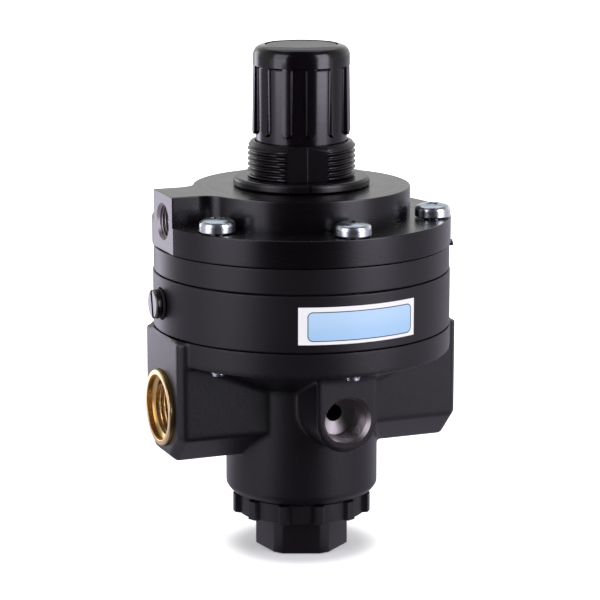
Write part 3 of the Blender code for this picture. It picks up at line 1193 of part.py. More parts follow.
def make_knob():
    """The knob: a drafted cup with twelve raised ribs that end in round tips, and the disc in its top."""
    crown_radius = KNOB_SKIRT_RADIUS + KNOB_RIB_TOP_HEIGHT
    cap_seat = KNOB_CAP_RADIUS + CLEARANCE
    pocket_radius = KNOB_SCREW_HEAD_RADIUS + KNOB_POCKET_GAP
    pocket_top = KNOB_CAP_BOTTOM - CLEARANCE
    crown = []
    round_steps = 2
    for i in range(round_steps + 1):
        angle = math.pi / 2 * (1 - i / round_steps)
        across = KNOB_CROWN_ROUND * math.cos(angle)
        up = KNOB_CROWN_ROUND * math.sin(angle)
        crown.append((crown_radius - KNOB_CROWN_ROUND + across, KNOB_TOP - KNOB_CROWN_ROUND + up))
    outside = [(0, KNOB_TOP)] + crown + [(crown_radius, KNOB_RIB_TOP), (KNOB_SKIRT_RADIUS, KNOB_RIB_TOP)]
    outside += [(KNOB_SKIRT_RADIUS, KNOB_BOTTOM), (0, KNOB_BOTTOM)]
    knob = turned("knob", outside, KNOB_STEPS)
    pocket = [
        (0, KNOB_TOP + OVERCUT),
        (cap_seat, KNOB_TOP + OVERCUT),
        (cap_seat, pocket_top),
        (pocket_radius, pocket_top),
        (pocket_radius, KNOB_HUB_TOP),
        (0, KNOB_HUB_TOP),
    ]

    # A rib is an upright lath with a round lower end, leaning out by the knob's draft.
    rib_top = KNOB_RIB_TOP + OVERCUT / 4
    outer_low = KNOB_SKIRT_RADIUS + KNOB_RIB_BOTTOM_HEIGHT
    half = outer_low * KNOB_RIB_ANGLE / 2
    tip_steps = 3
    outline = [(half, rib_top), (-half, rib_top)]
    for i in range(tip_steps + 1):
        angle = math.pi + math.pi * i / tip_steps
        outline.append((half * math.cos(angle), KNOB_RIB_BOTTOM + half + half * math.sin(angle)))
    ribs = []
    inner = KNOB_SKIRT_RADIUS - KNOB_WALL / 2
    draft = (KNOB_RIB_BOTTOM_HEIGHT - KNOB_RIB_TOP_HEIGHT) / (rib_top - KNOB_RIB_BOTTOM)
    # The outline's own x, y and z lie across the rib, up, and out from the axis.
    out_of_axis = Matrix(((-1, 0, 0, 0), (0, 0, -1, 0), (0, 1, 0, 0), (0, 0, 0, 1)))
    for i, angle in enumerate(around(KNOB_RIB_COUNT, KNOB_RIB_TURN), 1):
        rib = extruded(f"knob_rib_{i}", outline, inner, outer_low)
        for vert in rib.data.vertices:
            if vert.co.z > (inner + outer_low) / 2:
                vert.co.z -= draft * (vert.co.y - KNOB_RIB_BOTTOM)
        rib.data.transform(Matrix.Rotation(angle, 4, "Z") @ out_of_axis)
        ribs.append(rib)
    combine(knob, "UNION", ribs)

    socket = polygon(SPINDLE_HEX_ACROSS_FLATS + 2 * CLEARANCE)
    hexagon = extruded("knob_socket", socket, KNOB_HUB_BOTTOM - OVERCUT, KNOB_HUB_TOP + OVERCUT)
    bore_low = (0, 0, KNOB_BOTTOM - OVERCUT)
    bore_high = (0, 0, KNOB_HUB_BOTTOM)
    cuts = [
        turned("knob_pocket", pocket, KNOB_STEPS),
        bar("knob_bore", KNOB_BORE_RADIUS, bore_low, bore_high, PORT_STEPS),
        hexagon,
    ]
    combine(knob, "DIFFERENCE", cuts)
    piece(knob, BLACK_GLOSS)

    disc = [
        (0, KNOB_TOP),
        (KNOB_CAP_RADIUS, KNOB_TOP),
        (KNOB_CAP_RADIUS, KNOB_CAP_BOTTOM),
        (0, KNOB_CAP_BOTTOM),
    ]
    piece(turned("knob_cap", disc, KNOB_STEPS), CAP_GREY)


def make_cover_screws():
    """Six long pan-head screws with cross recesses, from the cover's rim through the body's flange."""
    head_low = COVER_RIM_TOP + CLEARANCE
    head_top = head_low + SCREW_HEAD_HEIGHT
    end = BODY_FLANGE_BOTTOM - SCREW_POKE
    dome = []
    dome_steps = 2
    for i in range(dome_steps + 1):
        angle = math.pi / 2 * (1 - i / dome_steps)
        across = SCREW_HEAD_RADIUS * (0.55 + 0.45 * math.cos(angle))
        dome.append((across, head_top - 0.6 * SCREW_HEAD_HEIGHT * (1 - math.sin(angle))))
    profile = [(0, head_top)] + dome + [(SCREW_HEAD_RADIUS, head_low), (SCREW_RADIUS, head_low)]
    profile += [(SCREW_RADIUS, end), (0, end)]
    recess_low = head_top - RECESS_DEPTH
    for i, angle in enumerate(around(SCREW_COUNT), 1):
        place = spot(SCREW_CIRCLE_RADIUS, angle)
        screw = turned(f"cover_screw_{i}", profile, SMALL_STEPS, place)
        arms = []
        for turn, name in ((0, "along"), (math.pi / 2, "across")):
            low = (-RECESS_LENGTH / 2, -RECESS_WIDTH / 2, recess_low)
            high = (RECESS_LENGTH / 2, RECESS_WIDTH / 2, head_top + OVERCUT)
            arm = block(f"recess_{name}_{i}", low, high, turn)
            arm.location = place
            arms.append(arm)
        combine(screw, "DIFFERENCE", arms)
        piece(screw, ZINC)


make_plug()
make_poppet()
make_body()
make_port_bushes()
make_gasket()
make_mid_ring()
make_bypass_screw()
make_diaphragm("feedback_diaphragm", MID_TOP, 1, tab=False)
make_spacer()
make_diaphragm("signal_diaphragm", SPACER_TOP, -1, tab=True)
make_stack()
make_cover()
make_bonnet()
make_spindle()
make_knob()
make_cover_screws()
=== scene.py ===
# %% [markdown]
# # Dressing a pneumatic booster
#
# The booster's solids come from a CAD model. It gives the places, the sizes and the moving bodies. This
# script gives the pieces their real surfaces: cut threads, moulded ribs, cast skin with soft edges, turned
# metal. We read every height and radius that we can from the CAD boxes, so a piece stays where the solid is.

# %% Load the imported model
import math

import bmesh
import bpy
from mathutils import Matrix, Vector


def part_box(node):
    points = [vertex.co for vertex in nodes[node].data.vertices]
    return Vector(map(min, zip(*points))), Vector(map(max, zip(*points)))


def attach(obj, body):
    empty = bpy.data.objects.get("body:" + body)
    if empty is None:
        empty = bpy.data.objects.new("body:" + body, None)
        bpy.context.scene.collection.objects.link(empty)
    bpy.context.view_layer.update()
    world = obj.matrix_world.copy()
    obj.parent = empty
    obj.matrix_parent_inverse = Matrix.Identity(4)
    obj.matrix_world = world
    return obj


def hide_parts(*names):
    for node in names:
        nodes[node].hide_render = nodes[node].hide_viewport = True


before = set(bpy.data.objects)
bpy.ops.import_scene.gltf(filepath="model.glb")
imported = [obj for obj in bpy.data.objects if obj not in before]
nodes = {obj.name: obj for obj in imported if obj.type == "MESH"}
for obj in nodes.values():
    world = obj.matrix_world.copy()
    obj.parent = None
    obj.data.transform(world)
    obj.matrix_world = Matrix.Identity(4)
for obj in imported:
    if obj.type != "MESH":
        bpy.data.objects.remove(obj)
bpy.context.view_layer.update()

# %% [markdown]
# ## Sums on node sockets
#
# Patterns are easier to read as sums than as boxes and wires. A small class wraps a socket, and each
# arithmetic sign adds the Math node that does it. The same class serves shaders and Geometry Nodes, since
# both kinds of tree use the same Math node.


# %% A socket that does arithmetic
class Wire:
    def __init__(self, graph, socket):
        self.graph = graph
        self.socket = socket

    def math(self, operation, *others):
        return self.graph.node("ShaderNodeMath", dict(enumerate((self, *others))), operation=operation)

    def __add__(self, other):
        return self.math("ADD", other)

    def __sub__(self, other):
        return self.math("SUBTRACT", other)

    def __rsub__(self, other):
        return self.graph.node("ShaderNodeMath", {0: other, 1: self}, operation="SUBTRACT")

    def __mul__(self, other):
        return self.math("MULTIPLY", other)

    def __truediv__(self, other):
        return self.math("DIVIDE", other)

    __radd__ = __add__
    __rmul__ = __mul__

    def smooth(self, low, high):
        """0 below low, 1 above high, and a smooth step between."""
        values = {"Value": self, "From Min": low, "From Max": high}
        return self.graph.node("ShaderNodeMapRange", values, interpolation_type="SMOOTHSTEP")


class Graph:
    def __init__(self, tree):
        self.tree = tree

    def feed(self, socket, value):
        if isinstance(value, Wire):
            self.tree.links.new(value.socket, socket)
        else:
            socket.default_value = value

    def node(self, kind, values=None, output=0, **settings):
        """Adds a node: its settings first, then its sockets' values or links."""
        node = self.tree.nodes.new(kind)
        for name, setting in settings.items():
            setattr(node, name, setting)
        for key, value in (values or {}).items():
            self.feed(node.inputs[key], value)
        return Wire(self, node.outputs[output])

    def split(self, vector):
        """The x, y and z of a vector, each as a Wire."""
        x = self.node("ShaderNodeSeparateXYZ", {0: vector})
        outputs = x.socket.node.outputs
        return [Wire(self, outputs[i]) for i in range(3)]


# %% [markdown]
# ## Helpers for shapes
#
# Most of the booster was made on a lathe, or in a mould that was. So the main helper turns a profile round
# the Z axis: points run down the outside of the piece, and back up its inside if it is a ring. A third
# number at a point rounds that corner off. A light edge on every corner is what makes metal look like metal.


# %% Rounding a profile and turning it
def softened(points):
    """Rounds the corners of an open or closed (radius, height) line by each point's third number."""
    support = 0.15
    line = []
    for i, point in enumerate(points):
        corner = Vector(point[:2])
        rounding = point[2] if len(point) > 2 else 0
        if not rounding:
            line.append(tuple(corner))
            continue
        steps = 3 if rounding < 0.001 else 9
        before = Vector(points[i - 1][:2])
        after = Vector(points[(i + 1) % len(points)][:2])
        start = corner + (before - corner).normalized() * rounding
        end = corner + (after - corner).normalized() * rounding
        # A point just before and after the rounding keeps its shading off the long straight sides.
        line.append(tuple(start + (start - corner) * support))
        for step in range(steps + 1):
            t = step / steps
            line.append(tuple(start.lerp(corner, t).lerp(corner.lerp(end, t), t)))
        line.append(tuple(end + (end - corner) * support))
    return line


def smooth_shaded(mesh, angle=35):
    mesh.shade_smooth()
    mesh.set_sharp_from_angle(angle=math.radians(angle))


def new_piece(name, mesh):
    obj = bpy.data.objects.new(name, mesh)
    bpy.context.scene.collection.objects.link(obj)
    return obj


def laid(place, axis):
    """The matrix that lays the Z axis along another axis, from a place."""
    turn = Vector((0, 0, 1)).rotation_difference(Vector(axis)).to_matrix().to_4x4()
    return Matrix.Translation(place) @ turn


def turned(name, points, steps=128, place=(0, 0, 0), axis=(0, 0, 1)):
    """A closed solid of revolution about the Z axis, then laid along axis at place."""
    on_axis = 1e-9
    profile = softened(points)
    verts = []
    rings = []
    for radius, height in profile:
        if radius < on_axis:
            rings.append([len(verts)] * steps)
            verts.append((0, 0, height))
            continue
        rings.append(range(len(verts), len(verts) + steps))
        for i in range(steps):
            angle = 2 * math.pi * i / steps
            verts.append((radius * math.cos(angle), radius * math.sin(angle), height))
    pairs = list(zip(rings, rings[1:]))
    if profile[0][0] > on_axis:
        pairs.append((rings[-1], rings[0]))
    faces = []
    for upper, lower in pairs:
        for i in range(steps):
            j = (i + 1) % steps
            face = list(dict.fromkeys((upper[i], lower[i], lower[j], upper[j])))
            if len(face) > 2:
                faces.append(face)
    mesh = bpy.data.meshes.new(name)
    mesh.from_pydata(verts, [], faces)
    mesh.transform(laid(place, axis))
    smooth_shaded(mesh)
    return new_piece(name, mesh)


def rod(name, radius, low, high, steps, place=(0, 0, 0), axis=(0, 0, 1)):
    """A plain cylinder between two distances along its axis."""
    return turned(name, [(0, high), (radius, high), (radius, low), (0, low)], steps, place, axis)


def prism(name, outline, low, high, bevel=0.0, matrix=None):
    """A flat outline drawn out from low to high, its edges bevelled, then set in place by a matrix."""
    shape = bmesh.new()
    bottom = shape.faces.new([shape.verts.new((x, y, low)) for x, y in outline])
    top = bmesh.ops.extrude_face_region(shape, geom=[bottom])["geom"]
    verts = [item for item in top if isinstance(item, bmesh.types.BMVert)]
    bmesh.ops.translate(shape, vec=(0, 0, high - low), verts=verts)
    bmesh.ops.recalc_face_normals(shape, faces=shape.faces)
    if bevel:
        edges = [edge for edge in shape.edges if edge.calc_face_angle(0) > math.radians(50)]
        bmesh.ops.bevel(shape, geom=edges, offset=bevel, segments=2, profile=0.5, affect="EDGES")
    if matrix is not None:
        shape.transform(matrix)
    mesh = bpy.data.meshes.new(name)
    shape.to_mesh(mesh)
    shape.free()
    smooth_shaded(mesh)
    return new_piece(name, mesh)


def brick(name, low, high, turn=0.0):
    """A box between two corners, turned about the Z axis."""
    outline = [(low[0], low[1]), (high[0], low[1]), (high[0], high[1]), (low[0], high[1])]
    return prism(name, outline, low[2], high[2], matrix=Matrix.Rotation(turn, 4, "Z"))


def bevelled(obj, chosen, offset, segments):
    """Bevels the edges of a mesh that the test called chosen picks out."""
    shape = bmesh.new()
    shape.from_mesh(obj.data)
    edges = [edge for edge in shape.edges if chosen(edge)]
    bmesh.ops.bevel(shape, geom=edges, offset=offset, segments=segments, profile=0.5, affect="EDGES")
    shape.to_mesh(obj.data)
    shape.free()


# %% [markdown]
# A piece's modifiers are worked out once and kept as a plain mesh. The cutters go away when they have
# done their work. The Manifold solver is quick and exact enough, as long as every solid is closed.


# %% Working modifiers out
def settled(obj):
    """Replaces an object's mesh by what its modifiers make of it."""
    graph = bpy.context.evaluated_depsgraph_get()
    mesh = bpy.data.meshes.new_from_object(obj.evaluated_get(graph))
    mesh.name = obj.name
    obj.modifiers.clear()
    obj.data = mesh


def combine(obj, operation, others):
    """Adds or takes away each of the other solids, and removes them."""
    for other in others:
        modifier = obj.modifiers.new(other.name, "BOOLEAN")
        modifier.operation = operation
        modifier.solver = "MANIFOLD"
        modifier.object = other
    settled(obj)
    for other in others:
        bpy.data.objects.remove(other)
    smooth_shaded(obj.data)


def crisp(obj, direction):
    """Keeps the border of each flat face that looks along direction sharp, whatever the angle there."""
    shape = bmesh.new()
    shape.from_mesh(obj.data)
    for edge in shape.edges:
        flat = [face.normal.dot(direction) > 0.9999 for face in edge.link_faces]
        if any(flat) and not all(flat):
            edge.smooth = False
    shape.to_mesh(obj.data)
    shape.free()


def joined(name, objects):
    """Several meshes as one piece, each keeping its materials."""
    with bpy.context.temp_override(active_object=objects[0], selected_editable_objects=objects):
        bpy.ops.object.join()
    objects[0].name = name
    return objects[0]


def spot(radius, angle, height=0.0):
    """The point at this radius and angle, counted from -Y towards +X."""
    return Vector((radius * math.sin(angle), -radius * math.cos(angle), height))


def painted(obj, material):
    """Gives a mesh one material in place of any that it has."""
    obj.data.materials.clear()
    obj.data.materials.append(material)


def dressed(obj, body, slot, *replaced):
    """Gives a finished piece its body and hides the CAD nodes that it stands for. The slot is not used."""
    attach(obj, body)
    if replaced:
        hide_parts(*replaced)
    print(f"{obj.name}: {len(obj.data.polygons)} faces")


# %% [markdown]
# ## Finishes
#
# Each finish starts from the same shader with a bump. What differs is the pattern: concentric tool marks on
# what was turned, a fine pebble on the coated casting, a hardly seen flow on moulded plastic.
# Patterns read Object coordinates in metres, so their scale is real.


# %% The common parts of a finish
def finish(name, paint):
    """Makes a material. paint gets a Graph and returns the values of the Principled shader."""
    material = bpy.data.materials.new(name)
    material.use_nodes = True
    tree = material.node_tree
    tree.nodes.clear()
    graph = Graph(tree)
    shader = graph.node("ShaderNodeBsdfPrincipled", paint(graph))
    output = tree.nodes.new("ShaderNodeOutputMaterial")
    tree.links.new(shader.socket, output.inputs["Surface"])
    return material


def position(graph):
    return graph.node("ShaderNodeTexCoord", output=3)


def noise(graph, vector, scale, detail=2.0, roughness=0.5):
    values = {"Vector": vector, "Scale": scale, "Detail": detail, "Roughness": roughness}
    return graph.node("ShaderNodeTexNoise", values)


def bump(graph, height, strength, distance):
    return graph.node("ShaderNodeBump", {"Height": height, "Strength": strength, "Distance": distance})


def shade(graph, amount, dark, light):
    """A colour between two, by an amount from 0 to 1."""
    values = {0: amount, 6: (*dark, 1), 7: (*light, 1)}
    return graph.node("ShaderNodeMix", values, output=2, data_type="RGBA")


# %% Moulded plastics, glossy and plain
def moulded(colour, roughness, grain, grain_size):
    def paint(graph):
        place = position(graph)
        flow = noise(graph, place, scale=90, detail=3)
        fine = noise(graph, place, scale=1 / grain_size, detail=4)
        return {
            "Base Color": shade(graph, flow, colour, [1.5 * part for part in colour]),
            "Roughness": roughness + 0.1 * (flow - 0.5) + 0.05 * (fine - 0.5),
            "Normal": bump(graph, fine, grain, 0.0001),
        }

    return paint


knob_plastic = finish(
    "glossy_black_plastic", moulded((0.0022, 0.0012, 0.0024), roughness=0.15, grain=0.05, grain_size=0.0012)
)
disc_plastic = finish(
    "grey_disc_plastic", moulded((0.03, 0.029, 0.034), roughness=0.38, grain=0.1, grain_size=0.0005)
)
neck_plastic = finish(
    "black_plastic", moulded((0.0024, 0.0009, 0.0024), roughness=0.3, grain=0.1, grain_size=0.0006)
)
plug_plastic = finish(
    "satin_black_plastic", moulded((0.005, 0.0032, 0.0052), roughness=0.42, grain=0.15, grain_size=0.0005)
)

# %% [markdown]
# Turned metal shows the tool's path: rings round the axis on a face, and fine lines round a side. Both come
# from one noise that only knows the distance from the axis and the height. Black anodised aluminium counts
# as no metal here, because its colour lies in a glassy skin.


# %% Turned metals
def turned_metal(colour, roughness, marks, metallic=1.0, axis="Z", centre=0.0):
    """Tool marks round an axis. centre is the height of an axis that lies flat."""

    def paint(graph):
        x, y, z = graph.split(position(graph))
        if axis == "Z":
            across, along = (x, y), z
        elif axis == "X":
            across, along = (y, z - centre), x
        else:
            across, along = (x, z - centre), y
        radius = (across[0] * across[0] + across[1] * across[1]).math("SQRT")
        rings = graph.node("ShaderNodeCombineXYZ", {0: radius, 1: along, 2: 0.0})
        fine = noise(graph, rings, scale=5200)
        broad = noise(graph, rings, scale=700)
        cloud = noise(graph, position(graph), scale=140, detail=3)
        lighter = [min(1, 1.25 * part) for part in colour]
        return {
            "Base Color": shade(graph, 0.6 * broad + 0.4 * cloud, colour, lighter),
            "Metallic": metallic,
            "Roughness": roughness + 0.06 * (broad - 0.5) + 0.05 * (cloud - 0.5),
            "Normal": bump(graph, fine, marks, 0.00004),
        }

    return paint


def middle_height(name):
    low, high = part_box(name)
    return (low.z + high.z) / 2


port_height = middle_height("port_bush_left")
screw_height = middle_height("bypass_screw")
turned_black = finish(
    "black_turned_aluminium",
    turned_metal((0.0014, 0.0004, 0.0014), roughness=0.27, marks=0.04, metallic=0.0),
)
spacer_black = finish(
    "black_spacer_aluminium",
    turned_metal((0.0046, 0.0028, 0.0046), roughness=0.38, marks=0.15, metallic=0.0),
)
ring_black = finish(
    "black_ring_aluminium",
    turned_metal((0.0048, 0.003, 0.0052), roughness=0.42, marks=0.2, metallic=0.0),
)
brass = finish(
    "brass",
    turned_metal((0.68, 0.48, 0.23), roughness=0.24, marks=0.3, axis="X", centre=port_height),
)
bare_metal = finish(
    "bare_threaded_metal",
    turned_metal((0.35, 0.32, 0.33), roughness=0.4, marks=0.3, axis="Y", centre=port_height),
)
nickel = finish(
    "nickel_steel",
    turned_metal((0.13, 0.128, 0.122), roughness=0.3, marks=0.3, axis="X", centre=screw_height),
)

# %% Zinc plate, cast skin and rubber
screw_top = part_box("cover_screw_1")[1].z


def zinc_plate(graph):
    """Bright round the side of a head; on its top darker, as painted shade, and a little blue."""
    place = position(graph)
    height = graph.split(place)[2]
    cloud = noise(graph, place, scale=420, detail=3)
    grain = noise(graph, place, scale=2600, detail=3)
    # Painted shade: the top of a head is darker in place of the lamps' light that it would mirror, mottled by
    # the cloud.
    top = height.smooth(screw_top - 0.0012, screw_top - 0.0004) * (0.75 + 0.5 * (cloud - 0.5))
    return {
        "Base Color": shade(graph, top, (0.76, 0.8, 0.86), (0.26, 0.33, 0.36)),
        "Metallic": 1.0,
        "Roughness": 0.16 + 0.18 * cloud,
        "Normal": bump(graph, grain, 0.12, 0.00005),
    }


def cast_skin(graph):
    place = position(graph)
    pebble = noise(graph, place, scale=1500, detail=3, roughness=0.6)
    swell = noise(graph, place, scale=130)
    patch = noise(graph, place, scale=45, detail=3)
    height = 0.8 * pebble + 0.6 * swell
    return {
        "Base Color": shade(graph, patch, (0.0035, 0.002, 0.004), (0.0065, 0.0045, 0.0072)),
        "Roughness": 0.4 + 0.14 * (pebble - 0.5) + 0.1 * (patch - 0.5),
        "Normal": bump(graph, height, 0.35, 0.00012),
    }


def black_rubber(graph):
    grain = noise(graph, position(graph), scale=1800, detail=3)
    return {
        "Base Color": shade(graph, grain, (0.003, 0.002, 0.003), (0.006, 0.005, 0.006)),
        "Roughness": 0.7 + 0.2 * (grain - 0.5),
        "Normal": bump(graph, grain, 0.2, 0.00006),
    }


zinc = finish("zinc_plate", zinc_plate)
cast_black = finish("black_cast_coat", cast_skin)
rubber = finish("black_rubber", black_rubber)
print("finishes:", len(bpy.data.materials))

# %% [markdown]
# ## Geometry Nodes: a thread
#
# A thread is a rule: at every point the surface goes in and out with the height, and the whole wave climbs by
# one pitch in each turn. So one tree cuts every thread here. It finds the points of a turned solid that lie
# on the thread's cylinder, and moves them towards or away from the axis.

# %% The tree that cuts a thread
# A point no further from a turned side than this counts as lying on it.
SURFACE_REACH = 0.00002


def new_tree(name, sizes):
    """A Geometry Nodes tree with named inputs. Returns its graph and its inputs as Wires."""
    tree = bpy.data.node_groups.new(name, "GeometryNodeTree")
    tree.interface.new_socket("Geometry", in_out="INPUT", socket_type="NodeSocketGeometry")
    for size in sizes:
        kind = {"Count": "NodeSocketInt", "Seed": "NodeSocketInt"}.get(size, "NodeSocketFloat")
        tree.interface.new_socket(size, in_out="INPUT", socket_type=kind)
    tree.interface.new_socket("Material", in_out="INPUT", socket_type="NodeSocketMaterial")
    tree.interface.new_socket("Geometry", in_out="OUTPUT", socket_type="NodeSocketGeometry")
    graph = Graph(tree)
    group = tree.nodes.new("NodeGroupInput")
    inputs = {socket.name: Wire(graph, socket) for socket in group.outputs if socket.name}
    return graph, inputs


def close_tree(graph, geometry, material):
    """Ends a tree as the export needs it: nothing instanced, and the material set."""
    real = graph.node("GeometryNodeRealizeInstances", {0: geometry})
    painted_faces = graph.node("GeometryNodeSetMaterial", {"Geometry": real, "Material": material})
    output = graph.tree.nodes.new("NodeGroupOutput")
    graph.tree.links.new(painted_faces.socket, output.inputs[0])
    return graph.tree


def moved_points(graph, size, scale, x, y, z, chosen, operation):
    """Moves the chosen points away from the Z axis by a scale, at their own height."""
    moved = graph.node("ShaderNodeCombineXYZ", {0: x * scale, 1: y * scale, 2: z})
    selection = graph.node("FunctionNodeCompare", chosen, data_type="FLOAT", operation=operation)
    values = {"Geometry": size["Geometry"], "Selection": selection, "Position": moved}
    return graph.node("GeometryNodeSetPosition", values)


def thread_tree():
    run = 0.7
    graph, size = new_tree("cut_thread", ["Radius", "Depth", "Pitch", "Low", "High"])
    x, y, z = graph.split(graph.node("GeometryNodeInputPosition"))
    radius = (x * x + y * y).math("SQRT")
    turns = y.math("ARCTAN2", x) / (2 * math.pi)
    wave = ((z / size["Pitch"] - turns).math("FRACT") * 2 - 1).math("ABSOLUTE")
    run_in = ((z - size["Low"]) / size["Pitch"]).smooth(0.0, run)
    run_out = ((size["High"] - z) / size["Pitch"]).smooth(0.0, run)
    shift = size["Depth"] * wave.smooth(0.08, 0.9) * run_in * run_out
    scale = (radius + shift) / radius
    on_thread = {"A": (radius - size["Radius"]).math("ABSOLUTE"), "B": SURFACE_REACH}
    geometry = moved_points(graph, size, scale, x, y, z, on_thread, "LESS_THAN")
    return close_tree(graph, geometry, size["Material"])


def grown(obj, tree, material, **sizes):
    """Runs a tree on an object and keeps the result as a plain mesh. A name's spaces are written as _."""
    modifier = obj.modifiers.new(tree.name, "NODES")
    modifier.node_group = tree
    sizes["Material"] = material
    for socket in tree.interface.items_tree:
        name = socket.name.replace(" ", "_")
        if socket.in_out == "INPUT" and name in sizes:
            modifier[socket.identifier] = sizes[name]
    settled(obj)
    smooth_shaded(obj.data)


cut_thread = thread_tree()


def threaded_line(radius, start, end, pitch):
    """Points close enough together along a straight side for a thread to show."""
    count = max(2, round(abs(end - start) / pitch * 8))
    return [(radius, start + (end - start) * i / count) for i in range(count + 1)]


# %% [markdown]
# ## Geometry Nodes: raised ribs
#
# The knob and the plug's ring carry twelve raised ribs, which a mould gives soft edges. The second tree folds
# the angle round the axis into one rib's share, measures how far each point is from the rib's outline, an
# upright strip with a round lower end, and lifts the points inside it.


# %% The tree that raises ribs
def rib_tree():
    sizes = ["Count", "Turn", "Half Width", "Low", "High", "Height Low", "Height High", "Edge", "Core", "Top"]
    graph, size = new_tree("raise_ribs", sizes)
    x, y, z = graph.split(graph.node("GeometryNodeInputPosition"))
    radius = (x * x + y * y).math("SQRT")
    share = (x.math("ARCTAN2", 0 - y) - size["Turn"]) / (2 * math.pi) * size["Count"]
    # The half puts a rib in the middle of its share, and the hundred keeps the share above 0.
    folded = (share + 100.5).math("FRACT") - 0.5
    sideways = (folded / size["Count"] * radius * (2 * math.pi)).math("ABSOLUTE")
    below = (size["Low"] + size["Half Width"] - z).math("MAXIMUM", 0.0)
    distance = (sideways * sideways + below * below).math("SQRT") - size["Half Width"]
    inside = (0 - distance).smooth(-0.25 * size["Edge"], size["Edge"])
    climb = ((z - size["Low"]) / (size["High"] - size["Low"])).math("MAXIMUM", 0.0)
    height = size["Height Low"] + (size["Height High"] - size["Height Low"]) * climb
    scale = 1 + inside * (size["Core"] + height - radius) / radius
    # The core's own points may move, and those of the rounded edge above them, up to Top.
    within = (radius - size["Core"] + SURFACE_REACH).math("MINIMUM", size["Top"] - z)
    geometry = moved_points(graph, size, scale, x, y, z, {"A": within, "B": 0.0}, "GREATER_THAN")
    clean = graph.node("GeometryNodeMergeByDistance", {"Geometry": geometry, "Distance": 1e-6})
    return close_tree(graph, clean, size["Material"])


raise_ribs = rib_tree()

# %% [markdown]
# ## Geometry Nodes: copies round the axis
#
# The cover screws repeat. The third tree copies one piece round the Z axis, and gives each copy its own
# chance turn about its own middle, as a hand that tightens screws leaves them.


# %% The tree that copies round the axis
def ring_tree():
    graph, size = new_tree("ring_of_copies", ["Count", "Circle", "First", "Seed"])
    index = graph.node("GeometryNodeInputIndex")
    angle = size["First"] + index / size["Count"] * (2 * math.pi)
    across = graph.node(
        "ShaderNodeCombineXYZ",
        {0: size["Circle"] * angle.math("SINE"), 1: 0 - size["Circle"] * angle.math("COSINE"), 2: 0.0},
    )
    points = graph.node("GeometryNodePoints", {"Count": size["Count"], "Position": across})
    chance = graph.node("FunctionNodeRandomValue", {2: 0.0, 3: math.pi / 2, "Seed": size["Seed"]}, output=1)
    turn = graph.node("ShaderNodeCombineXYZ", {0: 0.0, 1: 0.0, 2: chance})
    copies = graph.node(
        "GeometryNodeInstanceOnPoints",
        {"Points": points, "Instance": size["Geometry"], "Rotation": turn},
    )
    return close_tree(graph, copies, size["Material"])


ring_of_copies = ring_tree()
print("trees:", [tree.name for tree in bpy.data.node_groups])

# %% [markdown]
# ## The knob
#
# A glossy cup with a rounded crown. Its outside is one turned surface with many points, so the rib tree can
# raise the ribs out of it, flush with the crown at the top and a little prouder at the bottom, because the
# mould's draft makes them so. A small fillet ends each groove between two ribs. Inside are the wide bore
# that slides over the bonnet's tube, the hub on the spindle, and the pocket for its screw.

# %% Turn the knob and raise its ribs
knob_low, knob_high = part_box("knob")
disc_low, disc_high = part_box("knob_cap")
knob_bottom, knob_top = knob_low.z, knob_high.z
core_radius = 0.01282
knob_bore = 0.01147
skirt_taper = 0.00025
crown_height = 0.00585
crown_slope = 0.0008
crown_round = 0.0024
crown_edge = 0.00018
groove_fillet = 0.00055
rib_half_width = 0.00133
rib_wall = 0.00022
rib_low_height = knob_high.x - core_radius - 0.0001
rib_top_height = 0.00075
crown_radius = core_radius + rib_top_height
rib_top = knob_top - crown_height
rib_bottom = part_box("bonnet")[1].z - 0.012
disc_seat = disc_high.x + 0.0003
disc_floor = disc_low.z - 0.0001
hub_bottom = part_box("bonnet")[1].z + 0.002
hub_top = hub_bottom + 0.0037
hub_bore, pocket = 0.0042, 0.007
side_top = rib_top - groove_fillet
fillet_line = []
for i in range(5):
    angle = math.pi / 2 * i / 5
    step_in = groove_fillet * (1 - math.sin(angle))
    fillet_line.append((core_radius + step_in, side_top + groove_fillet * math.cos(angle)))
count = 90
side = [(core_radius, side_top - (side_top - knob_bottom) * i / count) for i in range(count)]
knob_profile = (
    [(pocket, disc_floor), (disc_seat, disc_floor), (disc_seat, knob_top, 0.0002)]
    + [(crown_radius, knob_top - crown_slope, crown_round), (crown_radius, rib_top, crown_edge)]
    + fillet_line + side
    + [(core_radius - skirt_taper, knob_bottom), (knob_bore, knob_bottom), (knob_bore, hub_bottom)]
    + [(hub_bore, hub_bottom), (hub_bore, hub_top), (pocket, hub_top)]
)
knob = turned("knob_shell", knob_profile, 432)
grown(
    knob, raise_ribs, knob_plastic,
    Count=12, Turn=math.radians(-10), Low=rib_bottom, High=rib_top, Edge=rib_wall, Core=core_radius,
    Top=rib_top + crown_edge + 0.00001, Half_Width=rib_half_width,
    Height_Low=rib_low_height, Height_High=rib_top_height,
)
dressed(knob, "knob", "knob", "knob")

# %% The disc in the knob's top
disc_top = disc_high.z - 0.0002
disc = turned(
    "knob_disc",
    [(0, disc_top), (disc_high.x, disc_top, 0.0004), (disc_high.x, disc_low.z), (0, disc_low.z)],
)
painted(disc, disc_plastic)
dressed(disc, "knob", "knob_cap", "knob_cap")

# %% [markdown]
# ## The bonnet
#
# A plastic neck with a coarse thread for a panel nut, M30 with a pitch of 1.5 mm. Two flats cross the thread,
# and a fine line runs down each, where the mould's halves met. The flange below is notched at that line.

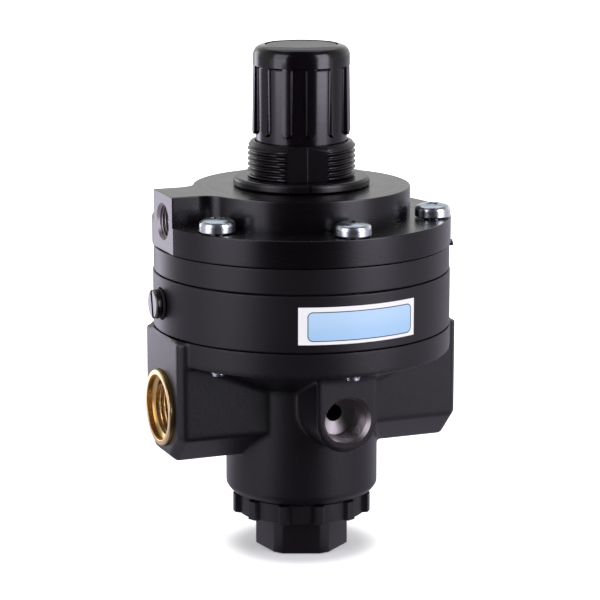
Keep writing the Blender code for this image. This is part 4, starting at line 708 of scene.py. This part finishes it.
# %% Turn the bonnet and cut its thread
bonnet_low, bonnet_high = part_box("bonnet")
flange_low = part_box("top_cover")[1].z + 0.0003
flange_top = flange_low + 0.00235
flange_radius = bonnet_high.x
neck_top = flange_top + 0.01
neck_radius = 0.0152
neck_chamfer = 0.0012
neck_bore = 0.01312
neck_floor = neck_top - 0.003
neck_pitch = 0.0015
core = 0.013
tube_radius = 0.01117
thread_low = flange_top + 0.0004
thread_high = neck_top - neck_chamfer
bonnet_profile = (
    [(0, bonnet_high.z), (tube_radius, bonnet_high.z, 0.0004), (tube_radius, neck_floor)]
    + [(neck_bore, neck_floor), (neck_bore, neck_top, 0.0002), (neck_radius - 0.0011, neck_top, 0.0002)]
    + threaded_line(neck_radius, thread_high, thread_low, neck_pitch)
    + [(neck_radius - 0.0008, flange_top), (flange_radius, flange_top, 0.0008)]
    + [(flange_radius, flange_low, 0.0003), (core, flange_low), (core, bonnet_low.z), (0, bonnet_low.z)]
)
bonnet = turned("bonnet_shell", bonnet_profile, 160)
grown(
    bonnet, cut_thread, neck_plastic,
    Radius=neck_radius, Depth=-0.0009, Pitch=neck_pitch, Low=thread_low - 0.0004, High=thread_high + 0.0004,
)

# %% Flats, notches and parting lines
flat = 0.0139
flat_half_width = 0.0056
notch_half_width = 0.0005
line_radius = 0.00016
slabs = []
cuts = []
lines = []
for half_turn in (0, math.pi):
    turn = math.radians(-15) + half_turn - math.pi / 2
    slab_low = (0.0133, -flat_half_width, flange_top - 0.0005)
    slab_high = (0.0142, flat_half_width, neck_top - 0.0006)
    slabs.append(brick("flat_slab", slab_low, slab_high, turn))
    cuts.append(brick("neck_flat", (flat, -0.02, flange_top + 0.0001), (0.02, 0.02, neck_top + 0.001), turn))
    notch_low = (flange_radius - 0.0006, -notch_half_width, flange_low - 0.001)
    cuts.append(brick("flange_notch", notch_low, (0.022, notch_half_width, flange_top + 0.001), turn))
    line = [(0, neck_top - 0.0004), (line_radius, neck_top - 0.0005)]
    line += [(line_radius, flange_top), (0, flange_top)]
    lines.append(turned("parting_line", line, 12, (flat * math.cos(turn), flat * math.sin(turn), 0)))
combine(bonnet, "UNION", slabs)
combine(bonnet, "DIFFERENCE", cuts)
combine(bonnet, "UNION", lines)
dressed(bonnet, "housing", "bonnet", "bonnet")

# %% [markdown]
# ## The cover
#
# Machined aluminium, anodised black. A thick disc stands on the wide rim and runs out into a flat-faced boss
# with the signal port. Seen from above, two wide fillets join the boss to the disc. The boss face is milled
# flat through the rim as well.

# %% The cover's outline
cover_low, cover_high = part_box("top_cover")
body_radius = cover_high.x
cover_bottom, cover_top = cover_low.z, cover_high.z
rim_top = cover_bottom + 0.00747
disc_radius = 0.03065
boss_half = 0.0081
boss_face = cover_low.x - 0.00025
fillet = 0.006
centre_y = boss_half + fillet
centre_x = -math.sqrt((disc_radius + fillet) ** 2 - centre_y**2)
arc_end = math.atan2(-centre_y, -centre_x)
arc = []
for i in range(17):
    angle = -math.pi / 2 + (arc_end + math.pi / 2) * i / 16
    arc.append((centre_x + fillet * math.cos(angle), centre_y + fillet * math.sin(angle)))
touch = math.atan2(arc[-1][1], arc[-1][0])
rim_arc = [
    (disc_radius * math.cos(touch * (1 - i / 60)), disc_radius * math.sin(touch * (1 - i / 60)))
    for i in range(1, 60)
]
upper_half = [(boss_face, boss_half)] + arc + rim_arc + [(disc_radius, 0.0)]
outline = upper_half + [(x, -y) for x, y in reversed(upper_half[:-1])]

# %% Build the cover
signal_height = cover_bottom + 0.0081
signal_floor = -boss_face - 0.009
signal_mouth, signal_hole = 0.0052, 0.0018
cover = turned(
    "cover",
    [(0, rim_top), (body_radius, rim_top, 0.0003), (body_radius, cover_bottom, 0.0002), (0, cover_bottom)],
    192,
)
raised = prism("cover_disc", outline[::-1], cover_bottom + 0.0001, cover_top, bevel=0.00035)
combine(cover, "UNION", [raised])
signal_line = [(0, 0.043), (signal_mouth, 0.043), (signal_mouth, signal_floor), (signal_hole, signal_floor)]
signal_line += [(signal_hole, 0.027), (0, 0.027)]
cuts = [
    brick("boss_cut", (-0.05, -0.02, cover_bottom - 0.001), (boss_face, 0.02, rim_top + 0.001)),
    rod("cover_bore", 0.0133, cover_bottom, cover_top + 0.001, 64),
    turned("signal_bore", signal_line, 64, (0, 0, signal_height), (-1, 0, 0)),
    rod("cover_chamber", 0.028, cover_bottom - 0.001, cover_top - 0.0035, 96),
]
combine(cover, "DIFFERENCE", cuts)
crisp(cover, Vector((-1, 0, 0)))
weighted = cover.modifiers.new("weighted", "WEIGHTED_NORMAL")
weighted.keep_sharp = True
settled(cover)
painted(cover, turned_black)
dressed(cover, "housing", "top_cover", "top_cover")


# %% [markdown]
# ## Tapped ports
#
# The signal port and the gauge ports are tapped straight into the metal, and the tap leaves it bare. Each is
# made as a thin threaded sleeve that lines the bore, with a chamfer at its mouth and a drill's cone at its
# end.


# %% A threaded sleeve that lines a bore
def tapped(name, place, axis, face, mouth, bore, hole, depth, pitch, material):
    bottom = face - depth
    chamfer = mouth - bore
    cone_top = bottom + 0.0002 + 0.3 * (bore - hole)
    profile = (
        [(mouth, face), (mouth, bottom), (hole, bottom), (hole, bottom + 0.0002), (bore - 0.0002, cone_top)]
        + threaded_line(bore, cone_top + 0.0002, face - chamfer, pitch)
    )
    sleeve = turned(name, profile, 96)
    grown(
        sleeve, cut_thread, material,
        Radius=bore, Depth=0.45 * pitch, Pitch=pitch, Low=cone_top, High=face - chamfer + 0.5 * pitch,
    )
    sleeve.data.transform(laid(place, axis))
    return sleeve


signal_thread = tapped(
    "signal_thread", (0, 0, signal_height), (-1, 0, 0), -boss_face,
    mouth=signal_mouth, bore=0.0044, hole=signal_hole, depth=0.0088, pitch=0.00091, material=bare_metal,
)
dressed(signal_thread, "housing", "top_cover")
gauge_face = 0.034
gauge_hole = 0.0024
for name, side in (("front_gauge_thread", -1), ("rear_gauge_thread", 1)):
    gauge = tapped(
        name, (0, 0, port_height), (0, side, 0), gauge_face,
        mouth=0.007, bore=0.006, hole=gauge_hole, depth=0.0103, pitch=0.00134, material=bare_metal,
    )
    dressed(gauge, "housing", "lower_body")

# %% [markdown]
# ## The rings
#
# Two plain rings with lightly broken edges. The upper one has a notch for the diaphragm's tab, and a small
# vent. The lower one carries the needle screw, set into a round seat on the port side.

# %% Spacer ring and middle ring
gasket_radius = 0.041
gasket_depth = 0.0011
chamber = 0.028
spacer_low, spacer_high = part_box("spacer_ring")
seat_height = spacer_high.z - gasket_depth
spacer = turned(
    "spacer",
    [(gasket_radius, spacer_high.z), (spacer_high.x, spacer_high.z, 0.0003)]
    + [(spacer_high.x, spacer_low.z, 0.0003), (chamber, spacer_low.z)]
    + [(chamber, seat_height), (gasket_radius, seat_height)],
    192,
)
tab_turn = math.radians(68) - math.pi / 2
notch = brick("tab_notch", (0.04, -0.0033, seat_height), (0.045, 0.0033, spacer_high.z + 0.001), tab_turn)
vent = rod("vent", 0.0015, 0.027, 0.045, 24, (0, 0, spacer_low.z + 0.0029), (1, 0, 0))
combine(spacer, "DIFFERENCE", [notch, vent])
painted(spacer, spacer_black)
dressed(spacer, "housing", "spacer_ring", "spacer_ring")

ring_low, ring_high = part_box("mid_ring")
ring_radius = ring_high.x
stem_bore = 0.0053
partition_top = ring_low.z + 0.003
seat_height = ring_high.z - gasket_depth
middle = turned(
    "middle_ring",
    [(gasket_radius, ring_high.z), (ring_radius, ring_high.z, 0.00035), (ring_radius, ring_low.z, 0.00035)]
    + [(stem_bore, ring_low.z), (stem_bore, partition_top), (chamber, partition_top)]
    + [(chamber, seat_height), (gasket_radius, seat_height)],
    192,
)
seat_floor = ring_radius - 0.00075
seat_line = [(0, 0.045), (0.0047, 0.045), (0.0046, seat_floor), (0.0028, seat_floor)]
seat_line += [(0.0028, 0.038), (0, 0.038)]
seat = turned("needle_seat", seat_line, 64, (0, 0, screw_height), (-1, 0, 0))
combine(middle, "DIFFERENCE", [seat])
painted(middle, ring_black)
dressed(middle, "housing", "mid_ring", "mid_ring")

# %% The needle screw and its O-ring
head_face = -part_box("bypass_screw")[0].x
head_back = head_face - 0.0016
needle_head, needle_shank, needle = 0.0041, 0.0025, 0.0013
shank_end, tip = 0.0377, 0.0303
head = turned(
    "needle_screw",
    [(0, head_face), (needle_head, head_face, 0.0005), (needle_head, head_back, 0.0002)]
    + [(needle_shank, head_back), (needle_shank, shank_end), (needle, shank_end)]
    + [(needle, tip), (0, tip - 0.0013)],
    64, (0, 0, screw_height), (-1, 0, 0),
)
slot = brick("needle_slot", (-head_face - 0.001, -0.0007, -0.006), (-head_face + 0.0006, 0.0008, 0.006))
slot.data.transform(Matrix.Translation((0, 0, screw_height)) @ Matrix.Rotation(math.radians(-12), 4, "X"))
combine(head, "DIFFERENCE", [slot])
crisp(head, Vector((-1, 0, 0)))
painted(head, nickel)
dressed(head, "bypass_screw", "bypass_screw", "bypass_screw")
ring_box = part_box("bypass_o_ring")
ring_middle = -(ring_box[0].x + ring_box[1].x) / 2
ring_circle, cord_radius = 0.0037, 0.0006
section = []
for i in range(16):
    angle = 2 * math.pi * i / 16
    section.append((ring_circle + cord_radius * math.cos(angle), ring_middle - cord_radius * math.sin(angle)))
seal = turned("needle_o_ring", section, 64, (0, 0, screw_height), (-1, 0, 0))
painted(seal, rubber)
dressed(seal, "bypass_seal", "bypass_o_ring", "bypass_o_ring")

# %% [markdown]
# ## The cast body
#
# A die casting: a tube that opens into a wide funnel and a flange, a block for the two main ports, and a boss
# for a gauge at front and back. Castings have no sharp inside corners. So the plain solids are joined, then
# remeshed into small even cells and smoothed, which melts every edge a little. What a machine cuts
# afterwards, the joint face and the bores, is cut afterwards here too, and stays sharp.

# %% Join the plain solids
body_low, body_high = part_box("lower_body")
body_top, body_bottom = body_high.z, body_low.z
tube = 0.0217
funnel_bottom = body_bottom + 0.0332
flange_bottom = funnel_bottom + 0.0086
body = turned(
    "cast_body",
    [(0, body_top + 0.001), (body_radius, body_top + 0.001), (body_radius, flange_bottom)]
    + [(body_radius - 0.0036, flange_bottom), (tube, funnel_bottom), (tube, body_bottom + 0.002)]
    + [(tube - 0.0015, body_bottom), (0, body_bottom)],
    160,
)
half = 0.0148
keel = 0.0073
keel_height = 0.0075
block_bottom = port_height - 0.014
block_top = body_top - 0.0003
section = [(-half, block_top), (-half, block_bottom + keel_height), (-keel, block_bottom)]
section += [(-x, z) for x, z in reversed(section)]
along_x = Matrix(((0, 0, 1, 0), (1, 0, 0, 0), (0, 1, 0, 0), (0, 0, 0, 1)))
block = prism("port_block", section, -body_radius, body_radius, matrix=along_x)


def on_port_face(edge):
    """True for an edge round one of the block's two end faces, but not for the edge at its top."""
    first, second = edge.verts
    return abs(first.co.x - second.co.x) < 1e-6 and min(first.co.z, second.co.z) < block_top - 1e-6


bevelled(block, on_port_face, offset=0.0017, segments=1)
boss_radius = 0.009
boss_outline = [(boss_radius, body_top - 0.0034), (-boss_radius, body_top - 0.0034)]
for i in range(33):
    angle = math.pi + math.pi * i / 32
    boss_outline.append((boss_radius * math.cos(angle), port_height + boss_radius * math.sin(angle)))
along_y = Matrix(((1, 0, 0, 0), (0, 0, -1, 0), (0, 1, 0, 0), (0, 0, 0, 1)))
bosses = prism("gauge_bosses", boss_outline, -gauge_face, gauge_face, matrix=along_y)
combine(body, "UNION", [block, bosses])

# %% Melt the edges
remesh = body.modifiers.new("cells", "REMESH")
remesh.mode = "VOXEL"
remesh.voxel_size = 0.00055
melt = body.modifiers.new("melt", "SMOOTH")
melt.factor = 0.5
melt.iterations = 4
settled(body)
print("cast cells:", len(body.data.polygons))

# %% Cut what a machine cuts
recess_floor = body_top - 0.0008
main_chamber, throat = 0.033, 0.014
valve_seat, seat_top, seat_low = 0.008, 0.0415, 0.038
valve_room, shoulder, plug_bore = 0.0135, 0.0283, 0.0163
inside = [(0, body_top + 0.003), (0.046, body_top + 0.003), (0.046, body_top), (gasket_radius, body_top)]
inside += [(gasket_radius, recess_floor), (main_chamber, recess_floor)]
inside += [(main_chamber, funnel_bottom + 0.0117), (throat, funnel_bottom + 0.0017)]
inside += [(throat, seat_top), (valve_seat, seat_top), (valve_seat, seat_low)]
inside += [(valve_room, seat_low), (valve_room, shoulder), (plug_bore, shoulder)]
inside += [(plug_bore, body_bottom - 0.001), (0, body_bottom - 0.001)]
cuts = [turned("chambers", inside, 96)]
bush_floor = 0.0272
bush_seat = 0.0109
passage_end = 0.0125
for side, height in ((-1, port_height - 0.0077), (1, port_height + 0.0028)):
    bore = [(0, 0.045), (0.0111, 0.045), (bush_seat, 0.0422), (bush_seat, bush_floor), (0, bush_floor)]
    cuts.append(turned("bush_bore", bore, 96, (0, 0, port_height), (side, 0, 0)))
    cuts.append(rod("passage", 0.0035, passage_end, 0.028, 48, (0, 0, height), (side, 0, 0)))
gauge_bore = 0.00702
gauge_floor = gauge_face - 0.0115
for side in (-1, 1):
    bore = [(0, 0.037), (gauge_bore, 0.037), (gauge_bore, gauge_floor), (gauge_hole, gauge_floor)]
    bore += [(gauge_hole, passage_end), (0, passage_end)]
    cuts.append(turned("gauge_bore", bore, 72, (0, 0, port_height), (0, side, 0)))
screw_circle = 0.0371
for i in range(6):
    place = spot(screw_circle, i * math.pi / 3)
    cuts.append(rod("screw_hole", 0.0028, funnel_bottom, body_top + 0.004, 32, place))
combine(body, "DIFFERENCE", cuts)
painted(body, cast_black)
dressed(body, "housing", "lower_body", "lower_body")

# %% [markdown]
# ## Brass bushes
#
# The main threads run in brass bushes. The left one stands proud of its port face. The right one is almost
# flush, as no brass shows beside the body there.

# %% Turn and tap the bushes
bush_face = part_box("port_bush_right")[1].x
bush_end = bush_face - 0.0161
bush_mouth, bush_radius = 0.0092, 0.0107
bush_thread, thread_depth, bush_pitch = 0.0079, 0.0006, 0.00134
for name, side, face in (("port_bush_left", -1, bush_face), ("port_bush_right", 1, body_radius + 0.0003)):
    thread_end = face - 0.0125
    profile = (
        [(bush_mouth, face, 0.0002), (bush_radius, face, 0.0004), (bush_radius, bush_end)]
        + [(0.0065, bush_end), (0.0065, thread_end), (0.0077, thread_end)]
        + threaded_line(bush_thread, thread_end + 0.0001, face - 0.0022, bush_pitch)
        + [(bush_mouth, face - 0.0016)]
    )
    bush = turned(f"{name}_brass", profile)
    grown(
        bush, cut_thread, brass,
        Radius=bush_thread, Depth=thread_depth, Pitch=bush_pitch, Low=thread_end, High=face - 0.0018,
    )
    bush.data.transform(laid((0, 0, port_height), (side, 0, 0)))
    dressed(bush, "housing", name, name)

# %% [markdown]
# ## The plug
#
# Black plastic: a ring with twelve ribs for the fingers, and below it a hexagon for a spanner, with its
# corners flattened and its lower edge rounded.

# %% Ring and hexagon
ring_bottom, ring_top = 0.0104, 0.0163
recess = 0.0187
ring_edge = 0.0003
plug_rib_height = 0.0014
count = 14
side_top = ring_top - ring_edge
side_height = ring_top - ring_bottom - 2 * ring_edge
side = [(recess, side_top - side_height * i / count) for i in range(count + 1)]
plug_ring = turned(
    "plug_ring",
    [(0, 0.0285), (0.016, 0.0285), (0.016, ring_top), (recess - ring_edge, ring_top)]
    + side
    + [(recess - ring_edge, ring_bottom), (0, ring_bottom)],
    360,
)
grown(
    plug_ring, raise_ribs, plug_plastic,
    Count=12, Turn=math.radians(-7), Low=-0.02, High=0.03, Edge=0.0003, Core=recess, Top=0.03,
    Half_Width=0.00155, Height_Low=plug_rib_height, Height_High=plug_rib_height,
)
flat_distance, corner_distance = 0.01215, 0.01315
along = (flat_distance - corner_distance * math.cos(math.pi / 6)) / math.sin(math.pi / 6)
outline = []
for i in range(6):
    angle = math.radians(-22) + math.pi / 6 + i * math.pi / 3
    corner = spot(corner_distance, angle)
    side_way = Vector((math.cos(angle), math.sin(angle), 0))
    outline.append((corner - side_way * along)[:2])
    outline.append((corner + side_way * along)[:2])
hexagon = prism("plug_hexagon", outline, 0.0, ring_bottom + 0.001)


def low_or_upright(edge):
    """True for an edge of the bottom face, or for one that stands upright."""
    first, second = edge.verts
    return max(first.co.z, second.co.z) < 1e-6 or abs(first.co.z - second.co.z) > 0.001


bevelled(hexagon, low_or_upright, offset=0.0003, segments=3)
smooth_shaded(hexagon.data, 20)
painted(hexagon, plug_plastic)
plug = joined("plug", [plug_ring, hexagon])
dressed(plug, "housing", "bottom_plug", "bottom_plug")

# %% [markdown]
# ## The cover screws
#
# Long pan-head screws with a cross recess, bright with zinc plate. Their ends show below the flange.

# %% One screw, then six
screw_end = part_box("cover_screw_1")[0].z
head_low = rim_top + 0.0003
head_radius = 0.005
shank_radius = 0.0024
screw_pitch = 0.0008
thread_top = screw_end + 0.008
dome = [(0.0024, screw_top - 0.0001), (0.0037, screw_top - 0.00035)]
dome += [(head_radius, screw_top - 0.0009, 0.0009)]
screw = turned(
    "cover_screws",
    [(0, screw_top)] + dome + [(head_radius, head_low, 0.0003), (shank_radius, head_low)]
    + threaded_line(shank_radius, thread_top, screw_end + 0.0005, screw_pitch)
    + [(shank_radius - 0.0005, screw_end), (0, screw_end)],
    64,
)
arms = []
for turn in (0, math.pi / 2):
    arm = brick("recess_arm", (-0.0027, -0.0007, screw_top - 0.0019), (0.0027, 0.0007, screw_top + 0.001))
    for vert in arm.data.vertices:
        if vert.co.z < screw_top - 0.001:
            vert.co.x *= 0.55
            vert.co.y *= 0.7
    arm.data.transform(Matrix.Rotation(turn, 4, "Z"))
    arms.append(arm)
combine(screw, "DIFFERENCE", arms)
grown(
    screw, cut_thread, zinc,
    Radius=shank_radius, Depth=-0.0004, Pitch=screw_pitch, Low=screw_end, High=thread_top,
)
grown(screw, ring_of_copies, zinc, Count=6, Circle=screw_circle, First=0.0, Seed=4)
dressed(screw, "housing", "cover_screw_1", *[f"cover_screw_{i}" for i in range(1, 7)])

# %% [markdown]
# ## The label
#
# A thin bare plate bent round the middle ring: a white border, and on it an empty pale blue panel with a
# dark outline. The pattern is drawn from the plate's own flat coordinates, in metres.


# %% The label's print
def label_print(graph):
    u, v, _ = graph.split(graph.node("ShaderNodeUVMap", uv_map="flat"))
    width, height, round_radius = 0.0312, 0.0079, 0.0014
    panel_u, panel_v = 0.00065, -0.0002
    box_x = ((u - panel_u).math("ABSOLUTE") - (width / 2 - round_radius)).math("MAXIMUM", 0.0)
    box_y = ((v - panel_v).math("ABSOLUTE") - (height / 2 - round_radius)).math("MAXIMUM", 0.0)
    edge = (box_x * box_x + box_y * box_y).math("SQRT") - round_radius
    panel = 1 - edge.smooth(-0.00005, 0.00005)
    line = 1 - (edge.math("ABSOLUTE") - 0.00012).smooth(-0.00004, 0.00006)
    fade = (v / height + 0.5).smooth(0.0, 1.0)
    blue = shade(graph, fade, (0.35, 0.54, 0.76), (0.44, 0.62, 0.82))
    colours = {0: panel, 6: (0.8, 0.8, 0.8, 1), 7: blue}
    ground = graph.node("ShaderNodeMix", colours, output=2, data_type="RGBA")
    colours = {0: line, 6: ground, 7: (0.02, 0.03, 0.05, 1)}
    inked = graph.node("ShaderNodeMix", colours, output=2, data_type="RGBA")
    grain = noise(graph, position(graph), scale=900)
    return {
        "Base Color": inked,
        "Roughness": 0.3 + 0.1 * (grain - 0.5),
        "Normal": bump(graph, grain, 0.05, 0.00004),
    }


# %% Bend the plate round the ring
start_angle, end_angle = math.radians(-23.2), math.radians(24.6)
label_low, label_high = 0.0681, 0.0784
middle_angle = (start_angle + end_angle) / 2
label_middle = (label_low + label_high) / 2
columns = 48
inner, outer = ring_radius + 0.00001, ring_radius + 0.00009
verts = []
faces = []
flat_places = []
for i in range(columns + 1):
    angle = start_angle + (end_angle - start_angle) * i / columns
    across = (angle - middle_angle) * ring_radius
    for radius, height in ((inner, label_low), (inner, label_high), (outer, label_high), (outer, label_low)):
        verts.append(spot(radius, angle, height))
        flat_places.append((across, height - label_middle))
for i in range(columns):
    for j in range(4):
        a, b = 4 * i + j, 4 * i + (j + 1) % 4
        faces.append((a, b, b + 4, a + 4))
faces.append((3, 2, 1, 0))
faces.append((4 * columns, 4 * columns + 1, 4 * columns + 2, 4 * columns + 3))
mesh = bpy.data.meshes.new("label_plate")
mesh.from_pydata(verts, [], faces)
flat_map = mesh.uv_layers.new(name="flat")
for loop in mesh.loops:
    flat_map.data[loop.index].uv = flat_places[loop.vertex_index]
shape = bmesh.new()
shape.from_mesh(mesh)
bmesh.ops.recalc_face_normals(shape, faces=shape.faces)
shape.to_mesh(mesh)
shape.free()
smooth_shaded(mesh)
label = new_piece("label_plate", mesh)
painted(label, finish("label_print", label_print))
dressed(label, "housing", "mid_ring")

# %% [markdown]
# ## What stays as it is
#
# The pieces inside keep their CAD solids and get finishes of their own kind. The signal diaphragm's
# tab is the only one of them that shows.

# %% Finishes for the CAD nodes that stay
steel = finish("drawn_steel", turned_metal((0.4, 0.4, 0.41), roughness=0.3, marks=0.2))
plain_aluminium = finish("bare_aluminium", turned_metal((0.6, 0.61, 0.63), roughness=0.35, marks=0.25))
inner_brass = finish("inner_brass", turned_metal((0.62, 0.4, 0.15), roughness=0.3, marks=0.25))
kept = {
    rubber: [
        "plug_o_ring", "poppet_seal", "body_gasket", "stem_o_ring", "feedback_diaphragm",
        "signal_diaphragm", "spindle_o_ring",
    ],
    steel: ["valve_spring", "range_spring", "exhaust_stem", "adjusting_spindle"],
    plain_aluminium: ["lower_diaphragm_plate", "upper_diaphragm_plate", "diaphragm_spacer"],
    inner_brass: ["valve_poppet", "thrust_washer", "spring_nut"],
    zinc: ["stack_nut", "knob_retaining_screw"],
}
for material, names in kept.items():
    for name in names:
        painted(nodes[name], material)
print("CAD nodes that stay:", sum(len(names) for names in kept.values()))

# %% [markdown]
# ## The studio
#
# Black gloss shows only what it mirrors, so the room matters as much as the three soft lamps, which stand
# left and right of the camera and above. The camera looks down, so upright sides mirror the floor and flat
# tops mirror the far wall. Both are dark in front and grey beside the booster, and hold one bright card
# behind it on the left. A brighter band on the floor, on either side, makes the knob's upright streaks.

# %% Camera
camera_turn = math.radians(22)
camera_data = bpy.data.cameras.new("camera")
camera_data.lens = 150.96
camera_data.sensor_width = 36
camera_data.shift_x = -0.0025
camera_data.clip_end = 20
camera = bpy.data.objects.new("camera", camera_data)
camera.location = (-0.2622, -0.6490, 0.2212)
camera.rotation_euler = (math.radians(90 - 12.07), 0, -camera_turn)
bpy.context.scene.collection.objects.link(camera)
bpy.context.scene.camera = camera


# %% Lamps
def lamp(name, bearing, rise, distance, width, height, power):
    """A soft lamp. bearing counts from the camera's side, to the right, and rise is up; both in degrees."""
    data = bpy.data.lights.new(name, "AREA")
    data.shape = "RECTANGLE"
    data.size = width
    data.size_y = height
    data.energy = power
    data.color = (1, 0.97, 1.1)
    obj = bpy.data.objects.new(name, data)
    target = Vector((0, 0, 0.08))
    up = math.radians(rise)
    across = spot(distance * math.cos(up), math.radians(bearing) - camera_turn, distance * math.sin(up))
    obj.location = target + across
    obj.rotation_euler = (-across).to_track_quat("-Z", "Y").to_euler()
    bpy.context.scene.collection.objects.link(obj)


lamp("left_box", bearing=-52, rise=12, distance=0.9, width=0.52, height=0.9, power=3)
lamp("right_box", bearing=53, rise=12, distance=0.9, width=0.45, height=0.9, power=5.1)
lamp("top_box", bearing=180, rise=65, distance=1.0, width=0.9, height=0.9, power=2.5)


# %% What shiny pieces mirror
def seen_from_booster(x, y):
    """How far a direction looks away from the camera, and its bearing, 0 towards the camera, in radians."""
    away = math.sin(camera_turn) * x + math.cos(camera_turn) * y
    aside = math.cos(camera_turn) * x - math.sin(camera_turn) * y
    return away, aside.math("ARCTAN2", 0 - away)


def grey(bearing):
    """Dark in front, grey beside, and a little lighter behind."""
    around = bearing.math("ABSOLUTE")
    return 0.45 * around.smooth(0.45, 0.9) + 0.2 * around.smooth(1.9, 2.3)


def card(bearing):
    """One bright card behind, on the left."""
    return 1 - (bearing + 2.374).math("ABSOLUTE").smooth(0.08, 0.3)


def rays(graph):
    """Whether the camera sees a place itself, and whether a shiny piece mirrors it."""
    outputs = graph.node("ShaderNodeLightPath").socket.node.outputs
    return Wire(graph, outputs["Is Camera Ray"]), Wire(graph, outputs["Is Glossy Ray"])


# %% The room
world = bpy.data.worlds.new("room")
bpy.context.scene.world = world
world.use_nodes = True
world.node_tree.nodes.clear()
graph = Graph(world.node_tree)
x, y, _ = graph.split(graph.node("ShaderNodeTexCoord", output=0))
away, bearing = seen_from_booster(x, y)
level = x * x + y * y
seen, mirrored = rays(graph)
far_wall = 0.3 * away.smooth(0.1, 0.85)
bright_card = 2 * card(bearing) * level.smooth(0.85, 1.0)
room = 0.03 + level * (grey(bearing) + far_wall + bright_card)
plain = 0.6
strength = seen + (1 - seen) * (mirrored * room + (1 - mirrored) * plain)
background = graph.node("ShaderNodeBackground", {"Color": (1, 1, 1, 1), "Strength": strength})
output = world.node_tree.nodes.new("ShaderNodeOutputWorld")
world.node_tree.links.new(background.socket, output.inputs["Surface"])

# %% [markdown]
# The floor is white paper that keeps the booster's soft shadow. A glow that only the camera sees takes the
# paper to pure white away from the foot, and is weaker in a round patch under the foot: a painted shadow
# on top of the paper's own. What shiny pieces mirror is drawn on it as in the room.

# %% The floor
floor_half = 3
floor_corners = [(-1, -1), (1, -1), (1, 1), (-1, 1)]
floor_mesh = bpy.data.meshes.new("floor")
floor_mesh.from_pydata([(x * floor_half, y * floor_half, 0) for x, y in floor_corners], [], [(0, 1, 2, 3)])
floor = new_piece("floor", floor_mesh)
floor.location.z = -0.0002
floor_material = bpy.data.materials.new("floor")
floor_material.use_nodes = True
floor_material.node_tree.nodes.clear()
graph = Graph(floor_material.node_tree)
x, y, _ = graph.split(position(graph))
_, bearing = seen_from_booster(x, y)
around = bearing.math("ABSOLUTE")
distance = (x * x + y * y).math("SQRT")
seen, mirrored = rays(graph)
paper = graph.node("ShaderNodeBsdfDiffuse", {"Color": (0.9, 0.9, 0.9, 1)})
# Painted shadow: the camera's glow is weak within about 2 cm of the axis, so a round dark patch lies under
# the foot.
glow_with_painted_shadow = seen * (0.2 + 0.56 * distance.smooth(0.016, 0.0265) + 0.4 * distance.smooth(0.03, 0.3))
glow = graph.node("ShaderNodeEmission", {"Color": (1, 1, 1, 1), "Strength": glow_with_painted_shadow})
both = graph.node("ShaderNodeAddShader", {0: paper, 1: glow})
band = around.smooth(0.6, 0.7) * (1 - around.smooth(1.1, 1.5)) * distance.smooth(0.38, 0.44)
image = 0.03 + grey(bearing) + 0.9 * band + 2.3 * card(bearing) * distance.smooth(0.1, 0.3)
mirror_image = graph.node("ShaderNodeEmission", {"Color": (1, 0.95, 1.12, 1), "Strength": image})
split = graph.node("ShaderNodeMixShader", {0: mirrored, 1: both, 2: mirror_image})
output = floor_material.node_tree.nodes.new("ShaderNodeOutputMaterial")
floor_material.node_tree.links.new(split.socket, output.inputs["Surface"])
floor.data.materials.append(floor_material)

# %% Colour management, and the end
bpy.context.scene.view_settings.view_transform = "Standard"
bpy.context.view_layer.update()
